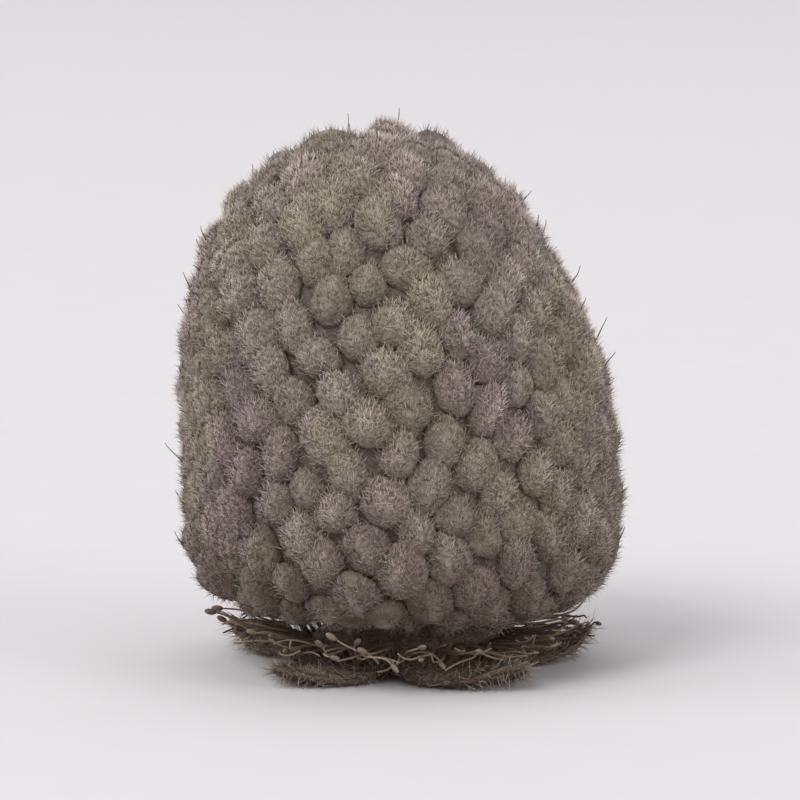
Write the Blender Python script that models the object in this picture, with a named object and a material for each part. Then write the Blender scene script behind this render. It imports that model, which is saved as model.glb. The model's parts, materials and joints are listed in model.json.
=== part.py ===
"""A dried raspberry, standing on its calyx with its tip up.

Three pieces: the head of drupelets, which is grown together with the receptacle inside it; the calyx under
it, with its five sepals and the withered stamens that grow on it; and the stub of the stalk below.
Metres, +Z up. The origin is on the surface that the berry stands on, under the middle of its bounding box.
"""

import math
import random

import bmesh
import bpy
from mathutils import Matrix, Vector, geometry

# Driving dimensions
BERRY_HEIGHT = 0.0130
HEAD_RADIUS = 0.0054
HEAD_UNDERSIDE = 0.00115
WIDEST_HEIGHT = 0.0042
GAP = 0.0003
SMALLEST_EDGE = 0.000002

# Head: the outline is two superellipses that meet where it is widest
UPPER_ROUNDNESS = 2.25
LOWER_ROUNDNESS = 4.6
DRUPELETS = 340
DRUPELET_RISE = 0.00042
SITE_JITTER = 0.05
RISE_JITTER = 0.09
SEAT_RADIUS = 0.0023
SEAT_ROOF_RADIUS = 0.0017
SEAT_ROOF_HEIGHT = 0.0026
OUTLINE_SAMPLES = 1500

# Each ring of a drupelet: its width around the berry, its length up the berry, and its share of the rise
DRUPELET_RINGS = ((0.84, 0.88, 0.58), (0.46, 0.62, 0.92))
PEAK_SHARE = 0.10
TIPWARD_LEAN = 0.00010

# Drying has pulled the head out of round: a shoulder, a fuller tip, flatter sides, and a lean to the left
SHOULDER_DIRECTION = Vector((-0.62, -0.10, 0.78)).normalized()
SHOULDER_RISE = 0.035
SHOULDER_SPREAD = 0.30
TIP_DIRECTION = Vector((0.08, 0, 1)).normalized()
TIP_RISE = 0.025
TIP_SPREAD = 0.20
OVALNESS = 0.035
OVAL_TURN = math.radians(35)
LOBES = 0.014
LOBE_TWIST = 4
DRYING_ONSET = 4
SIDE_LEAN = 0.00082
LEAN_POWER = 1.4

# Calyx: a thin sheet, domed in the middle, whose five lobes lie on the surface and curl up at their tips
SEPALS = 5
CALYX_THICKNESS = 0.0006
CALYX_DOME_HEIGHT = 0.00166
CALYX_DOME_RADIUS = 0.0017
CALYX_DOME_STEEPNESS = 3
FOOT_DEPTH = 0.00010
FOOT_RADIUS = 0.0030
NOTCH_RADIUS = 0.0023
SEPAL_REACH = 0.0047
SEPAL_REACH_JITTER = 0.0003
SEPAL_TAPER = 0.87
SEPAL_CURL = 0.00066
SEPAL_CURL_JITTER = 0.00006
SEPAL_CURL_POWER = 1.7
SEPAL_EDGE_LIFT = 0.00015
SEPAL_SWAY = math.radians(9)
SEPAL_TURN = math.radians(-62)
CALYX_RINGS = (0.15, 0.29, 0.42, 0.53, 0.63, 0.73, 0.82, 0.91, 1.0)
ANGLES_PER_SEPAL = 12

# Withered stamens, rooted on the calyx in the gap under the head
STAMENS = 30
STAMEN_RADIUS = 0.00011
STAMEN_TIP_SHARE = 0.65
STAMEN_ROOT_RADIUS = 0.0024
STAMEN_LENGTH = 0.00216
STAMEN_LENGTH_JITTER = 0.00048
STAMEN_SAG = 0.00012
STAMEN_SAG_JITTER = 0.00006
STAMEN_SPACING_JITTER = 0.35
STAMEN_BEND = 0.25
STAMEN_POINTS = 6

# Stalk, broken off below the calyx: how far up each ring of it is, and its width there
STALK_RADIUS = 0.00058
STALK_RINGS = ((0.0, 0.90), (0.25, 1.0), (0.65, 0.93), (1.0, 1.08))
STALK_FOOT = 0.00022
STALK_RAGGEDNESS = 0.00022
STALK_ANGULARITY = 0.06
STALK_SIDES = 14
STALK_LEAN = 0.00012
STALK_CLEARANCE = 1.3

GOLDEN_ANGLE = math.pi * (3 - math.sqrt(5))
UP = Vector((0, 0, 1))


def clear_scene():
    for old in list(bpy.data.objects):
        bpy.data.objects.remove(old)


def material(name, colour, roughness):
    made = bpy.data.materials.new(name)
    made.use_nodes = True
    shader = made.node_tree.nodes["Principled BSDF"]
    shader.inputs["Base Color"].default_value = (*colour, 1)
    shader.inputs["Roughness"].default_value = roughness
    shader.inputs["Metallic"].default_value = 0.0
    return made


def object_from(bm, name, finish):
    """Turns the faces outwards and makes the finished bmesh an object of its own."""
    bmesh.ops.recalc_face_normals(bm, faces=bm.faces)
    mesh = bpy.data.meshes.new(name)
    bm.to_mesh(mesh)
    bm.free()
    mesh.materials.append(finish)
    made = bpy.data.objects.new(name, mesh)
    bpy.context.scene.collection.objects.link(made)
    return made


def either_way(rng, amount):
    return amount * (2 * rng.random() - 1)


def at(radius, angle, height):
    return Vector((radius * math.cos(angle), radius * math.sin(angle), height))


# Head

def outline_point(turn):
    """The core's outline, without the drupelets' rise: turn runs from 0 at the tip to pi at the base."""
    radius = HEAD_RADIUS - DRUPELET_RISE
    if turn < math.pi / 2:
        power = 2 / UPPER_ROUNDNESS
        height = BERRY_HEIGHT - DRUPELET_RISE - WIDEST_HEIGHT
    else:
        power = 2 / LOWER_ROUNDNESS
        height = HEAD_UNDERSIDE + DRUPELET_RISE - WIDEST_HEIGHT
    return (
        radius * math.sin(turn) ** power,
        WIDEST_HEIGHT + height * abs(math.cos(turn)) ** power,
    )


def core_outline():
    """Stations from tip to seat, each (radius, height, area above it, log of its conformal radius)."""
    stations = []
    area = 0.0
    stretch = None
    before = None
    for i in range(1, OUTLINE_SAMPLES):
        r, z = outline_point(math.pi * i / OUTLINE_SAMPLES)
        if before is None:
            stretch = math.log(r)
        else:
            step = math.hypot(r - before[0], z - before[1])
            mean_radius = (r + before[0]) / 2
            area += 2 * math.pi * mean_radius * step
            stretch += step / mean_radius
            if z < WIDEST_HEIGHT and r < SEAT_RADIUS:
                break
        stations.append((r, z, area, stretch))
        before = (r, z)
    return stations


def head_underside(radius):
    """How low the head's drupelets reach at a distance from its axis."""
    share = (radius / HEAD_RADIUS) ** LOWER_ROUNDNESS
    return WIDEST_HEIGHT - (WIDEST_HEIGHT - HEAD_UNDERSIDE) * (1 - share) ** (1 / LOWER_ROUNDNESS)


def station_at_area(stations, area):
    for low, high in zip(stations, stations[1:]):
        if high[2] >= area:
            share = (area - low[2]) / (high[2] - low[2])
            return [a + (b - a) * share for a, b in zip(low, high)]
    return stations[-1]


def bulge(direction, towards, rise, spread):
    """How much the head swells in a direction: most where it points towards the middle of the swelling."""
    return rise * math.exp((direction.dot(towards) - 1) / spread**2)


def dried_shape(point):
    """Moves a point of the round head to where drying has left it."""
    rise = (point.z - HEAD_UNDERSIDE) / (BERRY_HEIGHT - HEAD_UNDERSIDE)
    share = max(0.0, min(1.0, rise))
    angle = math.atan2(point.y, point.x)
    middle = Vector((0, 0, WIDEST_HEIGHT))
    direction = (point - middle).normalized()
    grow = bulge(direction, SHOULDER_DIRECTION, SHOULDER_RISE, SHOULDER_SPREAD)
    grow += bulge(direction, TIP_DIRECTION, TIP_RISE, TIP_SPREAD)
    grow += OVALNESS * (math.cos(2 * (angle - OVAL_TURN)) - 1) / 2
    grow += LOBES * math.sin(3 * angle + LOBE_TWIST * share) * math.sin(math.pi * share)
    moved = middle + (point - middle) * (1 + grow * min(1.0, DRYING_ONSET * share))
    moved.x -= SIDE_LEAN * share**LEAN_POWER
    return moved


def drupelet_sites(stations, rng):
    """Each drupelet's place in space and on the conformal plane, tip first, then a ring of empty sites."""
    total = stations[-1][2]
    pitch = math.sqrt(total / DRUPELETS)
    sites = []
    for i in range(DRUPELETS):
        area = total * (i + 0.5 + either_way(rng, SITE_JITTER)) / DRUPELETS
        r, z, _, stretch = station_at_area(stations, area)
        angle = i * GOLDEN_ANGLE + either_way(rng, SITE_JITTER) * pitch / r
        sites.append((r, z, stretch, angle))
    r, z, _, stretch = stations[-1]
    ring = round(2 * math.pi * r / pitch)
    sites += [(r, z, stretch + pitch / r / 2, 2 * math.pi * i / ring) for i in range(ring)]
    return [(at(r, a, z), Vector((math.cos(a), math.sin(a))) * math.exp(s)) for r, z, s, a in sites]


def cell_mesh(sites):
    """The head's core as one face for each drupelet: the faces meet where three drupelets do."""
    flat = [on_plane for _, on_plane in sites]
    _, _, triangles, _, _, _ = geometry.delaunay_2d_cdt(flat, [], [], 0, 1e-9)
    bm = bmesh.new()
    corners = []
    around = [[] for _ in sites]
    for n, triangle in enumerate(triangles):
        middle = sum((sites[i][0] for i in triangle), Vector()) / 3
        corners.append(bm.verts.new(dried_shape(middle)))
        for i in triangle:
            around[i].append(n)
    for i in range(DRUPELETS):
        centre = flat[i]
        middles = {n: sum((flat[j] for j in triangles[n]), Vector((0, 0))) / 3 for n in around[i]}
        ring = sorted(around[i], key=lambda n: math.atan2(*(middles[n] - centre).yx))
        bm.faces.new([corners[n] for n in ring])
    for loose in [v for v in bm.verts if not v.link_faces]:
        bm.verts.remove(loose)
    bmesh.ops.recalc_face_normals(bm, faces=bm.faces)
    return bm


def close_seat(bm):
    """Turns the open edge under the head up into the hollow where the calyx sits, and roofs it."""
    rim = [e for e in bm.edges if e.is_boundary]
    grown = bmesh.ops.extrude_edge_only(bm, edges=rim)["geom"]
    for v in [g for g in grown if isinstance(g, bmesh.types.BMVert)]:
        outward = Vector((v.co.x, v.co.y)).normalized() * SEAT_ROOF_RADIUS
        v.co = (outward.x, outward.y, SEAT_ROOF_HEIGHT)
    bmesh.ops.contextual_create(bm, geom=[e for e in grown if isinstance(e, bmesh.types.BMEdge)])


def raise_drupelet(bm, cell, rise):
    """Draws one cell out into a drupelet: two narrowing rings and a low peak, leaning a little to the tip."""
    middle = cell.calc_center_median()
    normal = cell.normal.copy()
    tipward = (UP - normal * normal.z).normalized()
    across = normal.cross(tipward)
    arms = [v.co - middle for v in cell.verts]
    top = cell
    for width, length, share in DRUPELET_RINGS:
        top = bmesh.ops.extrude_discrete_faces(bm, faces=[top])["faces"][0]
        for v, arm in zip(top.verts, arms):
            v.co = (
                middle
                + across * arm.dot(across) * width
                + tipward * (arm.dot(tipward) * length + TIPWARD_LEAN * share)
                + normal * rise * share
            )
    bmesh.ops.poke(bm, faces=[top], offset=rise * PEAK_SHARE)


def fit_to_size(bm):
    """A last small stretch, up from the underside and out from the axis, to the size that the berry has."""
    top = max(v.co.z for v in bm.verts)
    width = max(v.co.x for v in bm.verts) - min(v.co.x for v in bm.verts)
    rise = (BERRY_HEIGHT - HEAD_UNDERSIDE) / (top - HEAD_UNDERSIDE)
    spread = 2 * HEAD_RADIUS / width
    for v in bm.verts:
        v.co = (v.co.x * spread, v.co.y * spread, HEAD_UNDERSIDE + (v.co.z - HEAD_UNDERSIDE) * rise)


def head_of_drupelets(finish):
    rng = random.Random(7)
    bm = cell_mesh(drupelet_sites(core_outline(), rng))
    cells = list(bm.faces)
    close_seat(bm)
    for cell in cells:
        raise_drupelet(bm, cell, DRUPELET_RISE * (1 + either_way(rng, RISE_JITTER)))
    fit_to_size(bm)
    return object_from(bm, "drupelets", finish)


# Calyx

def sepal_at(angle):
    """Which sepal an angle falls in, and where across it: 0 along its middle, 1 at the notches beside it."""
    turn = (angle - SEPAL_TURN) * SEPALS / (2 * math.pi)
    return round(turn) % SEPALS, abs(turn - round(turn)) * 2


def underside_height(radius, across, curl):
    dome = CALYX_DOME_HEIGHT * math.exp(-((radius / CALYX_DOME_RADIUS) ** CALYX_DOME_STEEPNESS))
    past_foot = max(0.0, (radius - FOOT_RADIUS) / (SEPAL_REACH - FOOT_RADIUS))
    edge = SEPAL_EDGE_LIFT * (across * radius / NOTCH_RADIUS) ** 2
    return max(0.0, dome + curl * past_foot**SEPAL_CURL_POWER + edge - FOOT_DEPTH)


def calyx_column(angle, ring, sepals):
    """A point of the underside, and the upper side's point one thickness away along the slope's normal."""
    number, across = sepal_at(angle)
    reach, curl, sway = sepals[number]
    edge_radius = NOTCH_RADIUS + (reach - NOTCH_RADIUS) * (1 - across ** (1 / SEPAL_TAPER))
    radius = ring * edge_radius
    step = CALYX_THICKNESS / 10
    low = underside_height(max(0.0, radius - step), across, curl)
    high = underside_height(radius + step, across, curl)
    slope = (high - low) / (2 * step)
    outward = at(1, angle + sway * ring**2 * (1 - across), 0)
    under = outward * radius + UP * underside_height(radius, across, curl)
    normal = (UP - outward * slope).normalized()
    return under, under + normal * CALYX_THICKNESS


def calyx_sheet(sepals):
    """A polar grid of triangles, cut alike on both sides so that the thin sheet never crosses itself."""
    bm = bmesh.new()
    count = SEPALS * ANGLES_PER_SEPAL
    angles = [SEPAL_TURN + 2 * math.pi * i / count for i in range(count)]
    columns = [[calyx_column(angle, ring, sepals) for angle in angles] for ring in CALYX_RINGS]
    middle = UP * (CALYX_DOME_HEIGHT - FOOT_DEPTH)
    edges = []
    for side, centre in enumerate((middle, middle + UP * CALYX_THICKNESS)):
        hub = bm.verts.new(centre)
        rings = [[bm.verts.new(column[side]) for column in row] for row in columns]
        for i in range(count):
            j = (i + 1) % count
            bm.faces.new((hub, rings[0][i], rings[0][j]))
            for inner, outer in zip(rings, rings[1:]):
                bm.faces.new((inner[i], outer[i], outer[j]))
                bm.faces.new((inner[i], outer[j], inner[j]))
        edges.append(rings[-1])
    under, over = edges
    for i in range(count):
        j = (i + 1) % count
        bm.faces.new((under[i], under[j], over[j]))
        bm.faces.new((under[i], over[j], over[i]))
    return bm


def stamen_path(number, rng):
    """A thread from the calyx's upper side, out through the gap close under the head, and past its edge."""
    start = 2 * math.pi * (number + either_way(rng, STAMEN_SPACING_JITTER)) / STAMENS
    length = STAMEN_LENGTH + either_way(rng, STAMEN_LENGTH_JITTER)
    bend = either_way(rng, STAMEN_BEND)
    sag = STAMEN_SAG + either_way(rng, STAMEN_SAG_JITTER)
    places = [at(STAMEN_ROOT_RADIUS, start, CALYX_THICKNESS - STAMEN_RADIUS)]
    for i in range(1, STAMEN_POINTS):
        share = i / (STAMEN_POINTS - 1)
        radius = STAMEN_ROOT_RADIUS + length * share
        height = head_underside(radius) - GAP - STAMEN_RADIUS - sag
        places.append(at(radius, start + bend * share**2, height))
    return places


def stamen(number, rng):
    """One thread as a mesh: a curve with a four-sided bevel that narrows to its tip."""
    curve = bpy.data.curves.new("stamen", "CURVE")
    curve.dimensions = "3D"
    curve.bevel_depth = STAMEN_RADIUS
    curve.bevel_resolution = 0
    curve.use_fill_caps = True
    spline = curve.splines.new("POLY")
    spline.points.add(STAMEN_POINTS - 1)
    for i, place in enumerate(stamen_path(number, rng)):
        spline.points[i].co = (*place, 1)
        spline.points[i].radius = 1 - (1 - STAMEN_TIP_SHARE) * i / (STAMEN_POINTS - 1)
    thread = bpy.data.objects.new("stamen", curve)
    bpy.context.scene.collection.objects.link(thread)
    mesh = bpy.data.meshes.new_from_object(thread.evaluated_get(bpy.context.evaluated_depsgraph_get()))
    bpy.data.objects.remove(thread)
    return bpy.data.objects.new("stamen", mesh)


def join_all(trunk, pieces):
    """One Boolean union of the trunk with all the pieces, applied, after which the pieces are gone."""
    group = bpy.data.collections.new("pieces")
    bpy.context.scene.collection.children.link(group)
    for piece in pieces:
        group.objects.link(piece)
    union = trunk.modifiers.new("union", "BOOLEAN")
    union.operation = "UNION"
    union.operand_type = "COLLECTION"
    union.collection = group
    union.solver = "EXACT"
    evaluated = trunk.evaluated_get(bpy.context.evaluated_depsgraph_get())
    bm = bmesh.new()
    bm.from_mesh(evaluated.data)
    bmesh.ops.remove_doubles(bm, verts=bm.verts, dist=SMALLEST_EDGE)
    bmesh.ops.triangulate(bm, faces=bm.faces)
    trunk.modifiers.remove(union)
    bm.to_mesh(trunk.data)
    bm.free()
    for piece in list(group.objects):
        bpy.data.objects.remove(piece)
    bpy.data.collections.remove(group)


def calyx_with_stamens(finish):
    rng = random.Random(11)
    sepals = []
    for _ in range(SEPALS):
        reach = SEPAL_REACH + either_way(rng, SEPAL_REACH_JITTER)
        curl = SEPAL_CURL + either_way(rng, SEPAL_CURL_JITTER)
        sepals.append((reach, curl, either_way(rng, SEPAL_SWAY)))
    calyx = object_from(calyx_sheet(sepals), "calyx", finish)
    join_all(calyx, [stamen(i, rng) for i in range(STAMENS)])
    return calyx


# Stalk

def stalk_stub(finish):
    """A short leaning stub with a ragged lower end, up in the hollow under the calyx's dome."""
    rng = random.Random(5)
    top = underside_height(STALK_RADIUS * STALK_CLEARANCE, 0, 0) - GAP
    angles = [2 * math.pi * i / STALK_SIDES for i in range(STALK_SIDES)]
    bm = bmesh.new()
    rings = []
    for share, width in STALK_RINGS:
        lean = Vector((STALK_LEAN * (1 - share), 0, 0))
        ragged = STALK_RAGGEDNESS if share == 0 else 0
        ring = []
        for angle in angles:
            radius = STALK_RADIUS * width * (1 + STALK_ANGULARITY * math.cos(3 * angle))
            height = STALK_FOOT + (top - STALK_FOOT) * share + ragged * rng.random()
            ring.append(bm.verts.new(at(radius, angle, height) + lean))
        rings.append(ring)
    for lower, upper in zip(rings, rings[1:]):
        for i in range(STALK_SIDES):
            j = (i + 1) % STALK_SIDES
            bm.faces.new((lower[i], lower[j], upper[j], upper[i]))
    bm.faces.new(rings[-1])
    bmesh.ops.poke(bm, faces=[bm.faces.new(rings[0])])
    return object_from(bm, "stalk", finish)


def centre_on_origin(pieces):
    """Moves the meshes so that the middle of the whole berry's bounding box is over the origin."""
    places = [v.co for piece in pieces for v in piece.data.vertices]
    low = Vector((min(p.x for p in places), min(p.y for p in places), 0))
    high = Vector((max(p.x for p in places), max(p.y for p in places), 0))
    for piece in pieces:
        piece.data.transform(Matrix.Translation(-(low + high) / 2))


def main():
    clear_scene()
    drupelet_brown = material("dried_drupelet", (0.165, 0.138, 0.108), 0.85)
    calyx_brown = material("dried_calyx", (0.150, 0.085, 0.050), 0.80)
    stalk_brown = material("dried_stalk", (0.200, 0.130, 0.075), 0.75)
    pieces = [
        head_of_drupelets(drupelet_brown),
        calyx_with_stamens(calyx_brown),
        stalk_stub(stalk_brown),
    ]
    centre_on_origin(pieces)


main()
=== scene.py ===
# %% [markdown]
# # A dried raspberry
# This file builds the looks of one dried, unripe raspberry. The solids of the berry come from a fixed
# frame: a head of drupelets, a calyx with five sepals under it, and a stub of stalk. Each cell replaces one
# of them with a finer piece that keeps its form, or adds what is too small for a solid, such as the down on
# the skin. We load the frame first, because the berry's outer sizes are read from it.

# %% Load the frame
import json
import math
import random

import bmesh
import bpy
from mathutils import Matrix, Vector, noise

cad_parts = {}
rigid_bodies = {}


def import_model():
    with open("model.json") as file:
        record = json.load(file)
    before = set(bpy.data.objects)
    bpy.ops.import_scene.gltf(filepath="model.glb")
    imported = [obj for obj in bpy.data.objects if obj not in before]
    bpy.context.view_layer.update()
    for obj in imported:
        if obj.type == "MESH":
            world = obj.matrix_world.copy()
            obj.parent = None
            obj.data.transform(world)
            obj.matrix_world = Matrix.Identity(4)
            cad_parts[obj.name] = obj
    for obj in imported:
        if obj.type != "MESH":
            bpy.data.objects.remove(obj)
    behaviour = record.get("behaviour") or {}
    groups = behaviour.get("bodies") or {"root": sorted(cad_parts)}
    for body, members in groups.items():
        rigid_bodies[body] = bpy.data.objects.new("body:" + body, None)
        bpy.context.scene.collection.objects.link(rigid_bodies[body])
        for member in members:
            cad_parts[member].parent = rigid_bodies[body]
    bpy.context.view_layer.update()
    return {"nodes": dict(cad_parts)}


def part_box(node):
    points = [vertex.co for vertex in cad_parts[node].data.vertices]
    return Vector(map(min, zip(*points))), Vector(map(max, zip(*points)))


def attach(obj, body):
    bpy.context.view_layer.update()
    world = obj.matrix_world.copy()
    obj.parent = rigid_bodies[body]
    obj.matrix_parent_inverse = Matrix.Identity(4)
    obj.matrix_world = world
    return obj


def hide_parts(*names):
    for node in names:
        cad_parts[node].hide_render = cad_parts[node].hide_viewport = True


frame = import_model()
print("pieces in the frame:", sorted(frame["nodes"]))

# %% [markdown]
# ## Sizes
# The head's formula needs its height, its radius and where it is widest. The frame gives the outer sizes,
# and the other values are the berry's own proportions. The stalk's top ring is centred on the berry's axis,
# so its middle tells where that axis is.

# %% Sizes of the berry
MM = 0.001
head_low, head_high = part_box("drupelets")
stalk_low, stalk_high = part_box("stalk")

BERRY_HEIGHT = head_high.z
HEAD_RADIUS = (head_high.x - head_low.x) / 2
HEAD_UNDERSIDE = head_low.z
WIDEST_HEIGHT = 4.2 * MM
UPPER_ROUNDNESS = 2.25
LOWER_ROUNDNESS = 4.6
SEAT_RADIUS = 2.3 * MM
SEAT_ROOF_HEIGHT = 2.6 * MM
DRUPELETS = 340
DRUPELET_RISE = 0.42 * MM
DOWN_ALLOWANCE = 0.09 * MM
GOLDEN_ANGLE = math.pi * (3 - math.sqrt(5))

top_ring = [v.co for v in frame["nodes"]["stalk"].data.vertices if v.co.z > stalk_high.z - 0.01 * MM]
AXIS = sum(top_ring, Vector()) / len(top_ring)
AXIS.z = 0
print(f"berry {BERRY_HEIGHT / MM:.2f} mm high and {2 * HEAD_RADIUS / MM:.2f} mm wide")
print(f"its axis is at {AXIS.x / MM:.3f}, {AXIS.y / MM:.3f}")

# %% [markdown]
# ## Writing node trees as formulas
# A node tree that follows a rule is easier to read as a formula than as a list of nodes and links. A Field
# holds one output of a tree, and adding or multiplying two Fields puts the Math node for it in the tree.
# The same helper serves Geometry Nodes and shaders, because both use the same Math node.

# %% A field that does arithmetic
class Field:
    """One output in a node tree. Arithmetic on it adds Math nodes to that tree."""

    def __init__(self, tree, socket):
        self.tree = tree
        self.socket = socket

    def math(self, operation, *others):
        node = self.tree.nodes.new("ShaderNodeMath")
        node.operation = operation
        for place, value in zip(node.inputs, (self, *others)):
            plug(self.tree, value, place)
        return Field(self.tree, node.outputs[0])

    def __add__(self, other):
        return self.math("ADD", other)

    def __sub__(self, other):
        return self.math("SUBTRACT", other)

    def __rsub__(self, other):
        return (self * -1) + other

    def __mul__(self, other):
        return self.math("MULTIPLY", other)

    def __truediv__(self, other):
        return self.math("DIVIDE", other)

    def __rtruediv__(self, other):
        return (self**-1) * other

    def __pow__(self, other):
        return self.math("POWER", other)

    __radd__ = __add__
    __rmul__ = __mul__


def plug(tree, value, place):
    """Links an output to an input, or sets the input to a plain value."""
    if isinstance(value, Field):
        value = value.socket
    if isinstance(value, bpy.types.NodeSocket):
        tree.links.new(value, place)
    else:
        place.default_value = value


print("fields ready")

# %% [markdown]
# These helpers add nodes. Inputs are given by name, so that a line reads like the node does in the editor.

# %% Helpers that add nodes
def add(tree, kind, settings=None, **inputs):
    """A new node with its settings, and its inputs by name, with _ for a space."""
    node = tree.nodes.new(kind)
    for key, value in (settings or {}).items():
        setattr(node, key, value)
    for key, value in inputs.items():
        wanted = key.replace("_", " ")
        place = next(s for s in node.inputs if s.enabled and s.name == wanted)
        plug(tree, value, place)
    return node


def out(tree, node, name=None):
    """A node's output as a Field: the named one, or the first that is in use."""
    socket = next(s for s in node.outputs if s.enabled and name in (None, s.name))
    return Field(tree, socket)


def put(tree, *words, **inputs):
    """A new node's first output."""
    return out(tree, add(tree, *words, **inputs))


def vector(tree, operation, a, b=None, scale=None):
    node = tree.nodes.new("ShaderNodeVectorMath")
    node.operation = operation
    plug(tree, a, node.inputs[0])
    if b is not None:
        plug(tree, b, node.inputs[1])
    if scale is not None:
        plug(tree, scale, node.inputs["Scale"])
    return out(tree, node)


def scaled(tree, value, factor):
    return vector(tree, "SCALE", value, scale=factor)


def xyz(tree, x, y, z):
    return put(tree, "ShaderNodeCombineXYZ", X=x, Y=y, Z=z)


def parts_of(tree, value):
    node = add(tree, "ShaderNodeSeparateXYZ", Vector=value)
    return [Field(tree, socket) for socket in node.outputs]


def steep(tree, value, low, high):
    """A smooth step from 0 to 1 between two values."""
    settings = {"interpolation_type": "SMOOTHSTEP"}
    return put(tree, "ShaderNodeMapRange", settings, Value=value, From_Min=low, From_Max=high)


SOCKET_KINDS = {float: "Float", int: "Int", tuple: "Color", Vector: "Vector", str: None}


def new_group(kind, name, inputs, outputs):
    """A node group. It returns the tree, the inputs as Fields by name, and the outputs to plug into.

    An input is a name with its value, or with its kind where it starts empty. An output is a name and a kind.
    """
    tree = bpy.data.node_groups.new(name, kind)
    for label, value in inputs:
        socket_kind = SOCKET_KINDS[type(value)]
        socket_type = "NodeSocket" + (socket_kind or value)
        socket = tree.interface.new_socket(label, in_out="INPUT", socket_type=socket_type)
        if socket_kind:
            socket.default_value = value
    for label, socket_kind in outputs:
        tree.interface.new_socket(label, in_out="OUTPUT", socket_type="NodeSocket" + socket_kind)
    source = tree.nodes.new("NodeGroupInput")
    given = {s.name: Field(tree, s) for s in source.outputs if s.name}
    return tree, given, tree.nodes.new("NodeGroupOutput").inputs


def geometry_group(*words):
    return new_group("GeometryNodeTree", *words)


def shader_group(*words):
    return new_group("ShaderNodeTree", *words)


def use_group(tree, group, **inputs):
    kind = "ShaderNodeGroup" if group.bl_idname == "ShaderNodeTree" else "GeometryNodeGroup"
    node = tree.nodes.new(kind)
    node.node_tree = group
    for key, value in inputs.items():
        plug(tree, value, node.inputs[key.replace("_", " ")])
    return node


print("node helpers ready")

# %% [markdown]
# Geometry Nodes also read and store things that belong to the mesh: a point's place and number, a value
# under a name, and a random number that is the same on every run because its seed is fixed.

# %% Helpers for geometry trees
def place_of(tree):
    return out(tree, tree.nodes.new("GeometryNodeInputPosition"))


def normal_of(tree):
    return out(tree, tree.nodes.new("GeometryNodeInputNormal"))


def number_of(tree):
    return out(tree, tree.nodes.new("GeometryNodeInputIndex"))


def chance(tree, low, high, seed):
    node = add(tree, "FunctionNodeRandomValue", {"data_type": "FLOAT"}, Min=low, Max=high, Seed=seed)
    return out(tree, node)


def either_way(tree, seed):
    """A random number from -1 to 1."""
    return chance(tree, -1.0, 1.0, seed)


def swing(tree, place, size):
    """A random vector of up to a half each way that changes smoothly over a distance of the given size."""
    drift = add(tree, "ShaderNodeTexNoise", Vector=place, Scale=1 / size, Detail=0.0)
    return vector(tree, "SUBTRACT", out(tree, drift, "Color"), (0.5, 0.5, 0.5))


def stored(tree, geometry, name, value, domain="POINT", kind="FLOAT"):
    settings = {"data_type": kind, "domain": domain}
    node = add(tree, "GeometryNodeStoreNamedAttribute", settings, Geometry=geometry, Name=name, Value=value)
    return out(tree, node)


def named(tree, name, kind="FLOAT"):
    node = add(tree, "GeometryNodeInputNamedAttribute", {"data_type": kind}, Name=name)
    return out(tree, node, "Attribute")


def moved_to(tree, geometry, place):
    return put(tree, "GeometryNodeSetPosition", Geometry=geometry, Position=place)


def moved_by(tree, geometry, offset):
    return put(tree, "GeometryNodeSetPosition", Geometry=geometry, Offset=offset)


def joined(tree, *parts):
    node = tree.nodes.new("GeometryNodeJoinGeometry")
    for part in reversed(parts):
        plug(tree, part, node.inputs[0])
    return out(tree, node)


def made_real(tree, instances):
    return put(tree, "GeometryNodeRealizeInstances", Geometry=instances)


def finished(tree, geometry, material, result):
    """The end of every tree: real geometry, smooth shading and the material."""
    smooth = put(tree, "GeometryNodeSetShadeSmooth", Geometry=made_real(tree, geometry))
    plug(tree, put(tree, "GeometryNodeSetMaterial", Geometry=smooth, Material=material), result)


print("geometry helpers ready")

# %% [markdown]
# Drupelets, hairs, styles and anthers are all small shapes set on points. These helpers point a shape in a
# direction, turn it about itself, and copy it to the points.

# %% Helpers that set shapes on points
def pointing(tree, direction):
    """The rotation that turns +Z to a direction."""
    return put(tree, "FunctionNodeAlignRotationToVector", {"axis": "Z"}, Vector=direction)


def turned_by(tree, rotation, angles):
    """A rotation, after a turn by three angles about the shape's own axes."""
    own = put(tree, "FunctionNodeEulerToRotation", Euler=angles)
    settings = {"rotation_space": "LOCAL"}
    return put(tree, "FunctionNodeRotateRotation", settings, Rotation=rotation, Rotate_By=own)


def set_on(tree, points, shape, **inputs):
    return put(tree, "GeometryNodeInstanceOnPoints", Points=points, Instance=shape, **inputs)


def mesh_of(tree, shape):
    """The mesh of an object that the tree is given."""
    return out(tree, add(tree, "GeometryNodeObjectInfo", Object=shape), "Geometry")


def with_tint(tree, threads, seed, domain):
    """Gives each thread a random tint of its own, which its finish reads."""
    return stored(tree, threads, "thread_tint", chance(tree, 0.0, 1.0, seed), domain)


def above_floor(tree, geometry, lowest):
    x, y, z = parts_of(tree, place_of(tree))
    return moved_to(tree, geometry, xyz(tree, x, y, z.math("MAXIMUM", lowest)))


print("helpers for shapes on points ready")

# %% [markdown]
# ## Running a tree and keeping the result
# A Geometry Nodes modifier makes its mesh anew each time it is looked at. The frame wants plain meshes, so
# each tree is run once: its inputs are set by their identifiers, the result is taken as a mesh, and the
# modifier goes.

# %% Helpers for meshes
UP = Vector((0, 0, 1))


def at(radius, angle, height):
    return Vector((radius * math.cos(angle), radius * math.sin(angle), height))


def round_angles(count):
    return [2 * math.pi * i / count for i in range(count)]


def object_with(mesh, name):
    made = bpy.data.objects.new(name, mesh)
    bpy.context.scene.collection.objects.link(made)
    return made


def triangles(mesh):
    return sum(len(face.vertices) - 2 for face in mesh.polygons)


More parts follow.
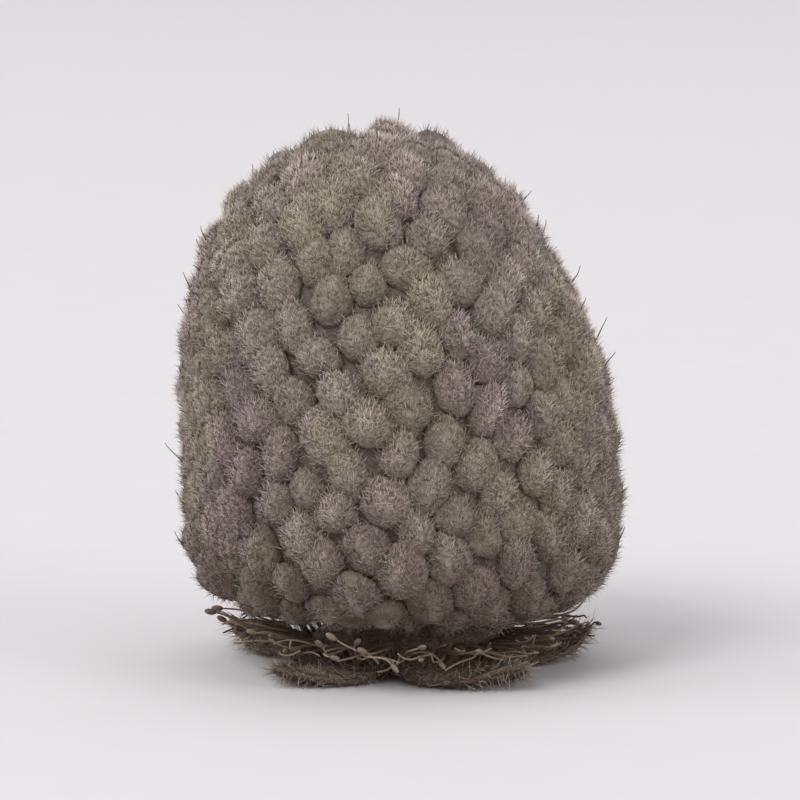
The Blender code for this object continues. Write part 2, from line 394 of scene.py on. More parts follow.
def run_tree(name, tree, start=None, **inputs):
    """Runs a Geometry Nodes tree on a mesh, or on nothing, and returns an object with the plain result."""
    host = object_with(start or bpy.data.meshes.new(name), name)
    modifier = host.modifiers.new("nodes", "NODES")
    modifier.node_group = tree
    for item in tree.interface.items_tree:
        key = item.name.replace(" ", "_")
        if item.in_out == "INPUT" and key in inputs:
            modifier[item.identifier] = inputs[key]
    depsgraph = bpy.context.evaluated_depsgraph_get()
    evaluated = host.evaluated_get(depsgraph)
    result = bpy.data.meshes.new_from_object(evaluated, preserve_all_data_layers=True, depsgraph=depsgraph)
    host.modifiers.clear()
    host.data = result
    result.name = name
    print(f"{name}: {triangles(result)} triangles")
    return host


def ring_mesh(rings, first_end=None, last_end=None):
    """A bmesh of quads between rings of points, closed with a fan over each end that has a middle point."""
    bm = bmesh.new()
    rows = [[bm.verts.new(place) for place in ring] for ring in rings]
    count = len(rings[0])
    for lower, upper in zip(rows, rows[1:]):
        for i in range(count):
            j = (i + 1) % count
            bm.faces.new((lower[i], lower[j], upper[j], upper[i]))
    for end, row in ((first_end, rows[0]), (last_end, rows[-1])):
        if end is not None:
            middle = bm.verts.new(end)
            for i in range(count):
                bm.faces.new((row[i], row[(i + 1) % count], middle))
    bmesh.ops.recalc_face_normals(bm, faces=bm.faces)
    return bm


def mesh_from(bm, name):
    mesh = bpy.data.meshes.new(name)
    bm.to_mesh(mesh)
    bm.free()
    mesh.shade_smooth()
    return mesh


def point_values(mesh, name, values):
    layer = mesh.attributes.new(name, "FLOAT", "POINT")
    layer.data.foreach_set("value", values)


def read_values(mesh, name):
    values = [0.0] * len(mesh.vertices)
    mesh.attributes[name].data.foreach_get("value", values)
    return values


def keep(piece, slot, *nodes):
    """Fixes a piece to the berry's one body and lets it stand in for frame nodes. The slot is not used."""
    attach(piece, "root")
    if nodes:
        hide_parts(*nodes)


print("mesh helpers ready")

# %% [markdown]
# ## Shader groups that several finishes share
# Dry plant skin is never one colour. Three effects come back on several finishes: soft patches of another
# hue, a surface that shrank into small folds and grain, and a base painted darker, partly browner drying and
# partly painted shade under the head. Each is built once as a group.

# %% Shader groups
def mix_colour(tree, factor, a, b):
    node = tree.nodes.new("ShaderNodeMix")
    node.data_type = "RGBA"
    plug(tree, factor, node.inputs[0])
    plug(tree, a, node.inputs[6])
    plug(tree, b, node.inputs[7])
    return Field(tree, node.outputs[2])


def object_place(tree):
    return out(tree, add(tree, "ShaderNodeTexCoord"), "Object")


def cloud(tree, size, detail=3.0, shift=(0.0, 0.0, 0.0)):
    """A noise of a given size in Object coordinates."""
    moved = vector(tree, "ADD", object_place(tree), shift)
    return put(tree, "ShaderNodeTexNoise", Vector=moved, Scale=1 / size, Detail=detail)


def patches_group():
    """Three colours in soft patches, with a fine grain of light and dark."""
    tree, given, result = shader_group(
        "soft_patches",
        (
            ("Base", (0.2, 0.2, 0.2, 1)),
            ("First Patch", (0.2, 0.2, 0.2, 1)),
            ("Second Patch", (0.2, 0.2, 0.2, 1)),
            ("Patch Size", 3 * MM),
            ("Grain Size", 0.1 * MM),
            ("Grain Strength", 0.2),
        ),
        (("Color", "Color"),),
    )
    first = steep(tree, cloud(tree, given["Patch Size"], shift=(0.01, 0, 0)), 0.44, 0.60)
    second = steep(tree, cloud(tree, given["Patch Size"] * 0.7, shift=(0, 0.02, 0)), 0.47, 0.62)
    one = mix_colour(tree, first, given["Base"], given["First Patch"])
    two = mix_colour(tree, second, one, given["Second Patch"])
    grain = steep(tree, cloud(tree, given["Grain Size"], 4.0, (0, 0, 0.03)), 0.25, 0.75)
    light = grain * given["Grain Strength"] + (1 - given["Grain Strength"] * 0.5)
    plug(tree, scaled(tree, two, light), result["Color"])
    return tree


def folds_group():
    """A bump height for shrunken skin: creases where a noise crosses its middle, and grain between them."""
    tree, given, result = shader_group(
        "shrunken_folds",
        (
            ("Fold Size", 0.3 * MM),
            ("Grain Size", 0.05 * MM),
            ("Crease Depth", 0.7),
            ("Grain Depth", 0.3),
        ),
        (("Height", "Float"),),
    )
    across = (cloud(tree, given["Fold Size"], 2.0, (0, 0, 0.05)) - 0.5).math("ABSOLUTE")
    crease = steep(tree, across, 0.0, 0.09)
    grain = cloud(tree, given["Grain Size"], 3.0)
    plug(tree, crease * given["Crease Depth"] + grain * given["Grain Depth"], result["Height"])
    return tree


def base_shade_and_browning_group():
    """A mask that runs from 0 on most of the berry to 1 at the head's underside, for painted shade under the
    head and partly browner drying.
    """
    tree, given, result = shader_group(
        "dark_base",
        (("Underside", HEAD_UNDERSIDE), ("Rise", 4.4 * MM)),
        (("Mask", "Float"),),
    )
    height = parts_of(tree, object_place(tree))[2]
    top = given["Underside"] + given["Rise"]
    plug(tree, 1 - steep(tree, height, given["Underside"], top), result["Mask"])
    return tree


PATCHES = patches_group()
FOLDS = folds_group()
BASE_SHADE_AND_BROWNING = base_shade_and_browning_group()
print("shader groups:", PATCHES.name, FOLDS.name, BASE_SHADE_AND_BROWNING.name)

# %% [markdown]
# ## The skin's finish
# The fruit skin is dull grey-brown with olive and purple-brown patches. Its attribute crest runs from 0 in
# the grooves to 1 on top of each drupelet, and tint is one random number for each drupelet, so the colour
# follows the fruit and not just its place. The grooves are painted darker, as painted shade with a little
# dirt, and the skin near the calyx is painted browner and darker, partly browner drying and partly painted
# shade under the head.

# %% Skin
PATCH_SIZE = 3.5 * MM
SKIN_HUES = ((0.190, 0.156, 0.125), (0.160, 0.120, 0.110), (0.190, 0.165, 0.120))
BROWNED_AND_SHADED_BASE = (0.105, 0.068, 0.048, 1)
GROOVE_SHADE_AND_DIRT = (0.088, 0.062, 0.050, 1)
PALE_CREST = (0.310, 0.272, 0.235, 1)


def attribute(tree, name):
    node = tree.nodes.new("ShaderNodeAttribute")
    node.attribute_name = name
    return out(tree, node, "Fac")


def new_material(name, roughness):
    made = bpy.data.materials.new(name)
    made.use_nodes = True
    shader = made.node_tree.nodes["Principled BSDF"]
    shader.inputs["Roughness"].default_value = roughness
    shader.inputs["Specular IOR Level"].default_value = 0.3
    return made, made.node_tree, shader


def patches(tree, hues, patch_size, grain_size, grain_strength):
    """The patches group in a material, with its three hues and its own sizes."""
    sizes = {"Patch_Size": patch_size, "Grain_Size": grain_size}
    node = use_group(tree, PATCHES, Grain_Strength=grain_strength, **sizes)
    for place, hue in zip(("Base", "First Patch", "Second Patch"), hues):
        node.inputs[place].default_value = (*hue, 1)
    return out(tree, node)


def folds(tree, fold_size, grain_size, crease_depth, grain_depth):
    sizes = {"Fold_Size": fold_size, "Grain_Size": grain_size}
    return out(tree, use_group(tree, FOLDS, Crease_Depth=crease_depth, Grain_Depth=grain_depth, **sizes))


def bump(tree, shader, height, distance, strength):
    node = add(tree, "ShaderNodeBump", Height=height, Distance=distance, Strength=strength)
    tree.links.new(node.outputs["Normal"], shader.inputs["Normal"])


def skin_material():
    made, tree, shader = new_material("dried_drupelet_skin", 0.80)
    crest = attribute(tree, "crest")
    base = out(tree, use_group(tree, BASE_SHADE_AND_BROWNING))
    patched = patches(tree, SKIN_HUES, PATCH_SIZE, 0.12 * MM, 0.45)
    # Painted shade and browner drying: the skin is mixed towards a dark brown near the head's underside.
    browner_and_shaded = mix_colour(tree, base * 0.7, patched, BROWNED_AND_SHADED_BASE)
    # Painted shade, with a little dirt: the skin is painted darker in the grooves between the drupelets.
    groove_shade_and_dirt = 1 - steep(tree, crest, 0.10, 0.55)
    groove_shaded = mix_colour(tree, groove_shade_and_dirt * 0.46, browner_and_shaded, GROOVE_SHADE_AND_DIRT)
    paler = mix_colour(tree, steep(tree, crest, 0.65, 1.0) * 0.45, groove_shaded, PALE_CREST)
    own = attribute(tree, "tint") * 0.45 + 0.78
    plug(tree, scaled(tree, paler, own), shader.inputs["Base Color"])
    bump(tree, shader, folds(tree, 0.22 * MM, 0.05 * MM, 0.6, 0.5), 0.045 * MM, 0.9)
    return made


SKIN = skin_material()
print("finish:", SKIN.name)

# %% [markdown]
# ## The finishes of the calyx, the stalk and the threads
# The calyx is thin red-brown leaf with paler veins. The stalk is woody and paler where it broke. Down and
# threads get their colour along their length, from the root to the tip. Down is nearly clear, so its tips
# take the hue of the patch of skin that they grow on: they use the same patches in the same coordinates.

# %% Calyx and stalk
LEAF_HUES = ((0.138, 0.096, 0.068), (0.092, 0.058, 0.042), (0.180, 0.142, 0.104))
PALE_VEIN = (0.210, 0.155, 0.105, 1)
DARK_EDGE = (0.045, 0.026, 0.018, 1)
STEM_HUES = ((0.150, 0.098, 0.058), (0.085, 0.050, 0.032), (0.230, 0.175, 0.110))
PALE_BREAK = (0.380, 0.300, 0.200, 1)


def leaf_material():
    made, tree, shader = new_material("dried_calyx_leaf", 0.78)
    vein = attribute(tree, "vein")
    veined = mix_colour(tree, vein * 0.55, patches(tree, LEAF_HUES, 1.8 * MM, 0.08 * MM, 0.6), PALE_VEIN)
    edged = mix_colour(tree, attribute(tree, "edge") * 0.6, veined, DARK_EDGE)
    plug(tree, edged, shader.inputs["Base Color"])
    bump(tree, shader, folds(tree, 0.30 * MM, 0.05 * MM, 0.7, 0.4) + vein * 0.8, 0.05 * MM, 0.9)
    return made


def stem_material():
    made, tree, shader = new_material("dried_stalk_bark", 0.80)
    bark = patches(tree, STEM_HUES, 0.6 * MM, 0.05 * MM, 0.6)
    broken = mix_colour(tree, attribute(tree, "edge") * 0.8, bark, PALE_BREAK)
    plug(tree, broken, shader.inputs["Base Color"])
    bump(tree, shader, folds(tree, 0.15 * MM, 0.04 * MM, 0.7, 0.4), 0.03 * MM, 0.8)
    return made


LEAF = leaf_material()
STEM = stem_material()
print("finishes:", LEAF.name, STEM.name)

# %% Threads
def thread_material(name, root, tips, crest_gain=0.0):
    """The colour runs from the root to a tip in one of three hues, and each thread is lighter or darker.

    With a crest gain, as for down, threads are paler on a drupelet's crest and painted darker towards its
    grooves as painted shade, painted darker near the berry's base as painted shade and partly browner drying,
    and follow their drupelet's tint.
    """
    made, tree, shader = new_material(name, 0.70)
    tip = patches(tree, tips, PATCH_SIZE, 0.1 * MM, 0.0)
    colour = mix_colour(tree, attribute(tree, "along"), (*root, 1), tip)
    own = attribute(tree, "thread_tint") * 0.5 + 0.75
    if crest_gain:
        base = out(tree, use_group(tree, BASE_SHADE_AND_BROWNING))
        # Painted shade: down is painted darker towards the grooves between drupelets, and paler on their
        # crests.
        own = own * (steep(tree, attribute(tree, "crest"), 0.45, 1.0) * crest_gain + (1 - crest_gain * 0.5))
        # Down near the berry's base is painted darker, as painted shade under the head and partly browner
        # drying.
        own = own * (attribute(tree, "tint") * 0.28 + 0.85) * (1 - base * 0.46)
    plug(tree, scaled(tree, colour, own), shader.inputs["Base Color"])
    return made


DOWN = thread_material(
    "pale_down",
    (0.235, 0.194, 0.163),
    ((0.590, 0.518, 0.468), (0.530, 0.428, 0.412), (0.520, 0.474, 0.362)),
    crest_gain=0.30,
)
WOOL = thread_material(
    "brown_wool",
    (0.150, 0.112, 0.084),
    ((0.360, 0.306, 0.252), (0.310, 0.245, 0.205), (0.370, 0.322, 0.255)),
)
STYLE = thread_material(
    "withered_style",
    (0.100, 0.056, 0.034),
    ((0.190, 0.125, 0.080), (0.150, 0.090, 0.060), (0.200, 0.150, 0.090)),
)
STAMEN = thread_material(
    "withered_stamen",
    (0.110, 0.074, 0.052),
    ((0.175, 0.122, 0.086), (0.135, 0.090, 0.064), (0.190, 0.146, 0.104)),
)
print("finishes:", [m.name for m in (DOWN, WOOL, STYLE, STAMEN)])

# %% [markdown]
# ## The outline of the head
# A raspberry is nearly a solid of revolution. Its outline is two superellipses that meet where the berry is
# widest: the upper one is a long dome, the lower one is flat. One small group gives the radius and height
# for any turn from the tip, 0, to the base, pi, and both the core and the drupelets' places use it.

# %% The outline group
OUTLINE_SIZES = (
    ("Radius", HEAD_RADIUS - DRUPELET_RISE),
    ("Top", BERRY_HEIGHT - DRUPELET_RISE),
    ("Underside", HEAD_UNDERSIDE + DRUPELET_RISE),
    ("Widest Height", WIDEST_HEIGHT),
)


def outline_group():
    tree, given, result = geometry_group(
        "berry_outline",
        (
            ("Turn", 0.0),
            *OUTLINE_SIZES,
            ("Upper Roundness", UPPER_ROUNDNESS),
            ("Lower Roundness", LOWER_ROUNDNESS),
        ),
        (("Reach", "Float"), ("Height", "Float")),
    )
    turn = given["Turn"]
    widest = given["Widest Height"]
    upper = turn.math("LESS_THAN", math.pi / 2)
    lower = 1 - upper
    power = upper * 2 / given["Upper Roundness"] + lower * 2 / given["Lower Roundness"]
    half = upper * (given["Top"] - widest) + lower * (given["Underside"] - widest)
    sine = turn.math("SINE").math("MAXIMUM", 0)
    cosine = turn.math("COSINE").math("ABSOLUTE")
    plug(tree, given["Radius"] * sine**power, result["Reach"])
    plug(tree, widest + half * cosine**power, result["Height"])
    return tree


def outline_sizes(given):
    """The outline's sizes that a tree was given, to hand on to a group inside it."""
    return {label.replace(" ", "_"): given[label] for label, _ in OUTLINE_SIZES}


def outline_at(tree, given, turn):
    """The outline's radius and height at a turn."""
    node = use_group(tree, OUTLINE, Turn=turn, **outline_sizes(given))
    return out(tree, node, "Reach"), out(tree, node, "Height")


OUTLINE = outline_group()
SEAT_TURN = math.pi - math.asin((SEAT_RADIUS / (HEAD_RADIUS - DRUPELET_RISE)) ** (LOWER_ROUNDNESS / 2))
print("the outline ends at the seat after", round(math.degrees(SEAT_TURN)), "degrees")

# %% [markdown]
# ## The core under the drupelets
# Between two drupelets one sees down to the berry's own skin. A flat grid is spun round the axis: its X
# side runs along the outline and its Y side goes once round. A second small grid roofs the hollow seat of
# the calyx.

# %% The core
CORE_COLUMNS = 65
CORE_ROWS = 49
ROOF_ROWS = 9
WELD_DISTANCE = 0.004 * MM


def lathed(tree, rows, reach_at, height_at):
    """A grid wound round the axis, where its X side gives the radius and the height."""
    counts = {"Vertices_X": rows, "Vertices_Y": CORE_COLUMNS}
    grid = add(tree, "GeometryNodeMeshGrid", Size_X=1.0, Size_Y=1.0, **counts)
    along, around, _ = parts_of(tree, place_of(tree))
    turned = around * (2 * math.pi)
    reach = reach_at(along + 0.5)
    spun = xyz(tree, reach * turned.math("COSINE"), reach * turned.math("SINE"), height_at(along + 0.5))
    return moved_to(tree, out(tree, grid, "Mesh"), spun)


def core_group():
    tree, given, result = geometry_group(
        "berry_core",
        (*OUTLINE_SIZES, ("Seat Turn", SEAT_TURN), ("Seat Roof", SEAT_ROOF_HEIGHT)),
        (("Mesh", "Geometry"),),
    )
    outside = lathed(
        tree,
        CORE_ROWS,
        lambda share: outline_at(tree, given, given["Seat Turn"] * share)[0],
        lambda share: outline_at(tree, given, given["Seat Turn"] * share)[1],
    )
    rim_reach, rim_height = outline_at(tree, given, given["Seat Turn"])
    hollow = lathed(
        tree,
        ROOF_ROWS,
        lambda share: rim_reach * (share * (math.pi / 2)).math("COSINE"),
        lambda share: rim_height + (given["Seat Roof"] - rim_height) * (share * (math.pi / 2)).math("SINE"),
    )
    both = joined(tree, outside, hollow)
    welded = add(tree, "GeometryNodeMergeByDistance", Geometry=both, Distance=WELD_DISTANCE)
    plug(tree, out(tree, welded), result["Mesh"])
    return tree


CORE = core_group()
print("group:", CORE.name)

# %% [markdown]
# ## Where the drupelets sit
# The drupelets of a raspberry follow the golden angle, as seeds do in a sunflower, and each has the same
# share of the surface. So this group first measures the surface from the tip down, band by band, and lays
# those areas out as the length of a curve. Reading that curve at even lengths gives each drupelet's height
# and radius. On a real fruit they also pushed each other about, so each place wanders a little on its own,
# drifts with its neighbours, and is then brought back to the core.

# %% The places of the drupelets
STATIONS = 600
AREA_SCALE = 1000


def ruler_group():
    """A curve whose length is the surface's area from the tip down. It stores the outline's places."""
    tree, given, result = geometry_group(
        "area_ruler",
        (*OUTLINE_SIZES, ("Seat Turn", SEAT_TURN)),
        (("Ruler", "Geometry"), ("Total", "Float")),
    )
    reach, height = outline_at(tree, given, given["Seat Turn"] * (number_of(tree) + 1) / STATIONS)
    settings = {"data_type": "FLOAT", "domain": "POINT"}

    def before(value):
        last = (number_of(tree) - 1).math("MAXIMUM", 0)
        return put(tree, "GeometryNodeFieldAtIndex", settings, Value=value, Index=last)

    step_out = reach - before(reach)
    step_down = height - before(height)
    slant = (step_out * step_out + step_down * step_down).math("SQRT")
    band = (reach + before(reach)) * slant * math.pi * AREA_SCALE
    gather = add(tree, "GeometryNodeAccumulateField", settings, Value=band)
    line = put(tree, "GeometryNodeMeshLine", Count=STATIONS)
    marked = stored(tree, line, "station", xyz(tree, reach, 0.0, height), kind="FLOAT_VECTOR")
    laid = moved_to(tree, marked, xyz(tree, out(tree, gather, "Leading"), 0.0, 0.0))
    ruler = put(tree, "GeometryNodeMeshToCurve", Mesh=laid)
    plug(tree, ruler, result["Ruler"])
    plug(tree, put(tree, "GeometryNodeCurveLength", Curve=ruler), result["Total"])
    return tree


def sites_group():
    """One point for each drupelet, in golden spirals, and the pitch between them."""
    tree, given, result = geometry_group(
        "drupelet_sites",
        (
            *OUTLINE_SIZES,
            ("Core", "Geometry"),
            ("Count", DRUPELETS),
            ("Wander", 0.14),
            ("Drift", 0.17),
            ("Drift Size", 2.6 * MM),
            ("Seed", 3),
        ),
        (("Points", "Geometry"), ("Pitch", "Float")),
    )
    measured = use_group(tree, RULER, **outline_sizes(given))
    total = out(tree, measured, "Total")
    reading = add(
        tree,
        "GeometryNodeSampleCurve",
        {"data_type": "FLOAT_VECTOR", "mode": "LENGTH"},
        Curves=out(tree, measured, "Ruler"),
        Value=named(tree, "station", "FLOAT_VECTOR"),
        Length=total * ((number_of(tree) + 0.5) / given["Count"]),
    )
    reach, _, height = parts_of(tree, out(tree, reading, "Value"))
    pitch = (total / AREA_SCALE / given["Count"]).math("SQRT")
    angle = number_of(tree) * GOLDEN_ANGLE
    site = xyz(tree, reach * angle.math("COSINE"), reach * angle.math("SINE"), height)
    points = moved_to(tree, put(tree, "GeometryNodePoints", Count=given["Count"]), site)
    alone = xyz(tree, *[either_way(tree, given["Seed"] + step) * given["Wander"] for step in (1, 2, 11)])
    together = swing(tree, place_of(tree), given["Drift Size"])
    shift = vector(tree, "ADD", alone, scaled(tree, together, given["Drift"] * 2))
    points = moved_by(tree, points, scaled(tree, shift, pitch))
    back = add(
        tree,
        "GeometryNodeProximity",
        {"target_element": "FACES"},
        Geometry=given["Core"],
        Sample_Position=place_of(tree),
    )
    plug(tree, moved_to(tree, points, out(tree, back, "Position")), result["Points"])
    plug(tree, pitch, result["Pitch"])
    return tree


RULER = ruler_group()
SITES = sites_group()
print("groups:", RULER.name, SITES.name)

# %% [markdown]
# ## One drupelet
# A dried drupelet is a small bead, a little longer than wide: a wall that its neighbours pressed into
# corners, a rounded top, a keel towards the berry's tip, and often a dent where the flesh sank in. It is
# wider than its place, so it runs into its neighbours and the furrow between them is shallow. It is
# repeated hundreds of times, so it has only a few dozen faces, and a subdivision smooths it later. Four
# beads with other keels and dents keep the head from looking cast. The attribute crest stores how high each
# point is, for the skin's colour and for the down.

# %% The drupelet beads
BEAD_SIDES = 12
BEAD_RINGS = ((0.58, -0.20), (0.65, 0.00), (0.595, 0.15), (0.44, 0.275), (0.215, 0.35))
BEAD_TOP = 0.38
BEAD_SLIMNESS = 0.94
BEAD_STRETCH = 1.03
CREST_HEIGHT = 0.48
CORNERS = 0.045
POINTEDNESS = 0.17
KEEL_WIDTH = 0.15
KEEL_LEAN = 0.10
DENT_WIDTH = 0.20
DENT_PLACE = 0.22
KEELS_AND_DENTS = (
    (0.090, (0.00, 0.0)),
    (0.125, (0.05, 0.3)),
    (0.060, (0.09, 3.6)),
    (0.100, (0.11, 2.6)),
)


def bead_point(radius, height, angle, keel, dent):
    """A point of a bead one pitch across, where +Z is outwards and +Y is towards the tip."""
    depth, dent_angle = dent
    lift = max(0.0, height) / BEAD_TOP
    pressed = 1 - CORNERS * math.cos(6 * angle) + POINTEDNESS * max(0.0, math.sin(angle)) ** 3
    x = radius * pressed * math.cos(angle) * BEAD_SLIMNESS
    y = radius * pressed * math.sin(angle) * BEAD_STRETCH + KEEL_LEAN * lift**2
    ridge = keel * lift * math.exp(-((x / KEEL_WIDTH) ** 2))
    middle = Vector((DENT_PLACE * math.cos(dent_angle), DENT_PLACE * math.sin(dent_angle)))
    sunk = depth * lift**2 * math.exp(-(((Vector((x, y)) - middle).length / DENT_WIDTH) ** 2))
    return Vector((x, y, height + ridge - sunk))


def drupelet_bead(name, keel, dent):
    angles = round_angles(BEAD_SIDES)
    rings = [[bead_point(radius, height, a, keel, dent) for a in angles] for radius, height in BEAD_RINGS]
    ends = (0, 0, BEAD_RINGS[0][1]), bead_point(0, BEAD_TOP, 0, keel, dent)
    mesh = mesh_from(ring_mesh(rings, *ends), name)
    point_values(mesh, "crest", [max(0.0, min(1.0, v.co.z / CREST_HEIGHT)) for v in mesh.vertices])
    point_values(mesh, "apex", [1.0 if v.index == len(mesh.vertices) - 1 else 0.0 for v in mesh.vertices])
    return bpy.data.objects.new(name, mesh)


beads = bpy.data.collections.new("beads")
for number, (keel, dent) in enumerate(KEELS_AND_DENTS):
    beads.objects.link(drupelet_bead(f"bead_{number}", keel, dent))
bpy.context.scene.collection.children.link(beads)

# %% [markdown]
# ## Setting the beads
# Each bead stands on its place, with +Z along the core's normal and +Y towards the tip. Small random turns,
# tilts and sizes follow, as on a fruit whose parts pushed each other while they grew.

# %% The group that sets the beads
def setting_group():
    tree, given, result = geometry_group(
        "beads_on_sites",
        (
            ("Points", "Geometry"),
            ("Core", "Geometry"),
            ("Beads", "Collection"),
            ("Pitch", MM),
            ("Size Change", 0.19),
            ("Tilt", 0.22),
            ("Seed", 3),
        ),
        (("Instances", "Geometry"),),
    )
    seed = given["Seed"]
    nearest = add(
        tree,
        "GeometryNodeSampleNearestSurface",
        {"data_type": "FLOAT_VECTOR"},
        Mesh=given["Core"],
        Value=normal_of(tree),
        Sample_Position=place_of(tree),
    )
    tipward = add(
        tree,
        "FunctionNodeAlignRotationToVector",
        {"axis": "Y", "pivot_axis": "Z"},
        Rotation=pointing(tree, out(tree, nearest, "Value")),
        Vector=UP,
    )
    tilts = [either_way(tree, seed + step) * given["Tilt"] for step in (3, 4, 5)]
    changes = [either_way(tree, seed + step) * given["Size Change"] for step in (6, 7, 8)]
    sizes = [given["Pitch"] * (change + 1) for change in changes]
    several = add(tree, "GeometryNodeCollectionInfo", Collection=given["Beads"], Separate_Children=True)
    placed = set_on(
        tree,
        given["Points"],
        out(tree, several),
        Pick_Instance=True,
        Instance_Index=chance(tree, 0.0, 3.99, seed + 9).math("FLOOR"),
        Rotation=turned_by(tree, out(tree, tipward), xyz(tree, tilts[0], tilts[1], tilts[2] * 2)),
        Scale=xyz(tree, *sizes),
    )
    tinted = stored(tree, placed, "tint", chance(tree, 0.0, 1.0, seed + 10), "INSTANCE")
    plug(tree, tinted, result["Instances"])
    return tree


SETTING = setting_group()
print("group:", SETTING.name)

# %% [markdown]
# ## How drying changes the shape
# The skin shrinks into folds: noise pushes it in and out along its normal, from another place for each
# drupelet. Drying also pulls the whole berry out of round: a shoulder bulges on one side, the tip stays
# full, the berry gets narrower one way, three faint lobes run up it, and it leans to the left more and more
# towards its tip.

# %% The groups for folds and drying
SHOULDER_DIRECTION = Vector((-0.62, -0.10, 0.78)).normalized()
SHOULDER_RISE = 0.035
SHOULDER_SPREAD = 0.30
TIP_DIRECTION = Vector((0.08, 0, 1)).normalized()
TIP_RISE = 0.025
TIP_SPREAD = 0.20
OVALNESS = 0.035
OVAL_TURN = math.radians(35)
LOBES = 0.014
LOBE_TWIST = 4
DRYING_ONSET = 4
SIDE_LEAN = 0.82 * MM
LEAN_POWER = 1.4
FOLD_CONTRAST = 2.4
CREASE_SHARE = 0.55
CREASE_FINENESS = 1.9


def folded_skin_group():
    tree, given, result = geometry_group(
        "folded_skin",
        (("Mesh", "Geometry"), ("Depth", 0.06 * MM), ("Size", 0.42 * MM)),
        (("Mesh", "Geometry"),),
    )
    tint = named(tree, "tint")
    apart = vector(tree, "ADD", place_of(tree), xyz(tree, tint * 3, tint * 5, tint * 7))
    broad = add(tree, "ShaderNodeTexNoise", Vector=apart, Scale=1 / given["Size"], Detail=1.5)
    narrow = add(tree, "ShaderNodeTexNoise", Vector=apart, Scale=CREASE_FINENESS / given["Size"], Detail=0.0)
    crease = 1 - steep(tree, (out(tree, narrow) - 0.5).math("ABSOLUTE"), 0.0, 0.10)
    depth = ((out(tree, broad) - 0.5) * FOLD_CONTRAST - crease * CREASE_SHARE) * given["Depth"]
    push = scaled(tree, normal_of(tree), depth)
    plug(tree, moved_by(tree, given["Mesh"], push), result["Mesh"])
    return tree


def bulge(tree, arm, towards, rise, spread):
    """How much the head swells along an arm: most where it points towards the middle of the swelling."""
    facing = tree.nodes.new("ShaderNodeVectorMath")
    facing.operation = "DOT_PRODUCT"
    plug(tree, vector(tree, "NORMALIZE", arm), facing.inputs[0])
    facing.inputs[1].default_value = towards
    return ((out(tree, facing, "Value") - 1) / spread**2).math("EXPONENT") * rise


def drying_group():
    tree, given, result = geometry_group(
        "drying",
        (
            ("Mesh", "Geometry"),
            ("Shoulder Rise", SHOULDER_RISE),
            ("Tip Rise", TIP_RISE),
            ("Ovalness", OVALNESS),
            ("Lobes", LOBES),
            ("Side Lean", SIDE_LEAN),
        ),
        (("Mesh", "Geometry"),),
    )
    x, y, z = parts_of(tree, place_of(tree))
    share = ((z - HEAD_UNDERSIDE) / (BERRY_HEIGHT - HEAD_UNDERSIDE)).math("MAXIMUM", 0).math("MINIMUM", 1)
    angle = y.math("ARCTAN2", x)
    arm = vector(tree, "SUBTRACT", place_of(tree), (0, 0, WIDEST_HEIGHT))
    shoulder = bulge(tree, arm, SHOULDER_DIRECTION, given["Shoulder Rise"], SHOULDER_SPREAD)
    tip = bulge(tree, arm, TIP_DIRECTION, given["Tip Rise"], TIP_SPREAD)
    oval = (((angle - OVAL_TURN) * 2).math("COSINE") - 1) * 0.5 * given["Ovalness"]
    lobes = (angle * 3 + share * LOBE_TWIST).math("SINE") * (share * math.pi).math("SINE") * given["Lobes"]
    grow = (shoulder + tip + oval + lobes) * (share * DRYING_ONSET).math("MINIMUM", 1)
    grown = scaled(tree, arm, grow + 1)
    lean = xyz(tree, share**LEAN_POWER * given["Side Lean"] * -1, 0.0, WIDEST_HEIGHT)
    plug(tree, moved_to(tree, given["Mesh"], vector(tree, "ADD", grown, lean)), result["Mesh"])
    return tree


FOLDED = folded_skin_group()
DRYING = drying_group()
print("groups:", FOLDED.name, DRYING.name)

# %% [markdown]
# ## The whole head
# The last tree only joins the groups: core, places, beads, one subdivision, folds, and drying. Everything
# that grows on the head later is grown on its finished mesh, so it follows the same shape.

# %% The head's tree
def head_tree():
    tree, given, result = geometry_group(
        "head_of_drupelets",
        (
            *OUTLINE_SIZES,
            ("Beads", "Collection"),
            ("Count", DRUPELETS),
            ("Fold Depth", 0.06 * MM),
            ("Seed", 3),
            ("Material", "Material"),
        ),
        (("Geometry", "Geometry"),),
    )
    sizes = outline_sizes(given)
    core = out(tree, use_group(tree, CORE, **sizes))
    sites = use_group(tree, SITES, Core=core, Count=given["Count"], Seed=given["Seed"], **sizes)
    set_beads = use_group(
        tree,
        SETTING,
        Points=out(tree, sites, "Points"),
        Pitch=out(tree, sites, "Pitch"),
        Core=core,
        Beads=given["Beads"],
        Seed=given["Seed"],
    )
    real = made_real(tree, out(tree, set_beads))
    rounded = add(tree, "GeometryNodeSubdivisionSurface", Mesh=real, Level=1)
    folded = use_group(tree, FOLDED, Mesh=out(tree, rounded), Depth=given["Fold Depth"])
    dried = use_group(tree, DRYING, Mesh=joined(tree, out(tree, folded), core))
    finished(tree, out(tree, dried), given["Material"], result["Geometry"])
    return tree


head = run_tree("drupelet_head", head_tree(), Beads=beads, Material=SKIN)

# %% [markdown]
# The tree works round an upright axis at its own origin. A last small stretch gives the head the size that
# the frame says, less a hair's breadth for the down, and moves it onto the middle of the frame.

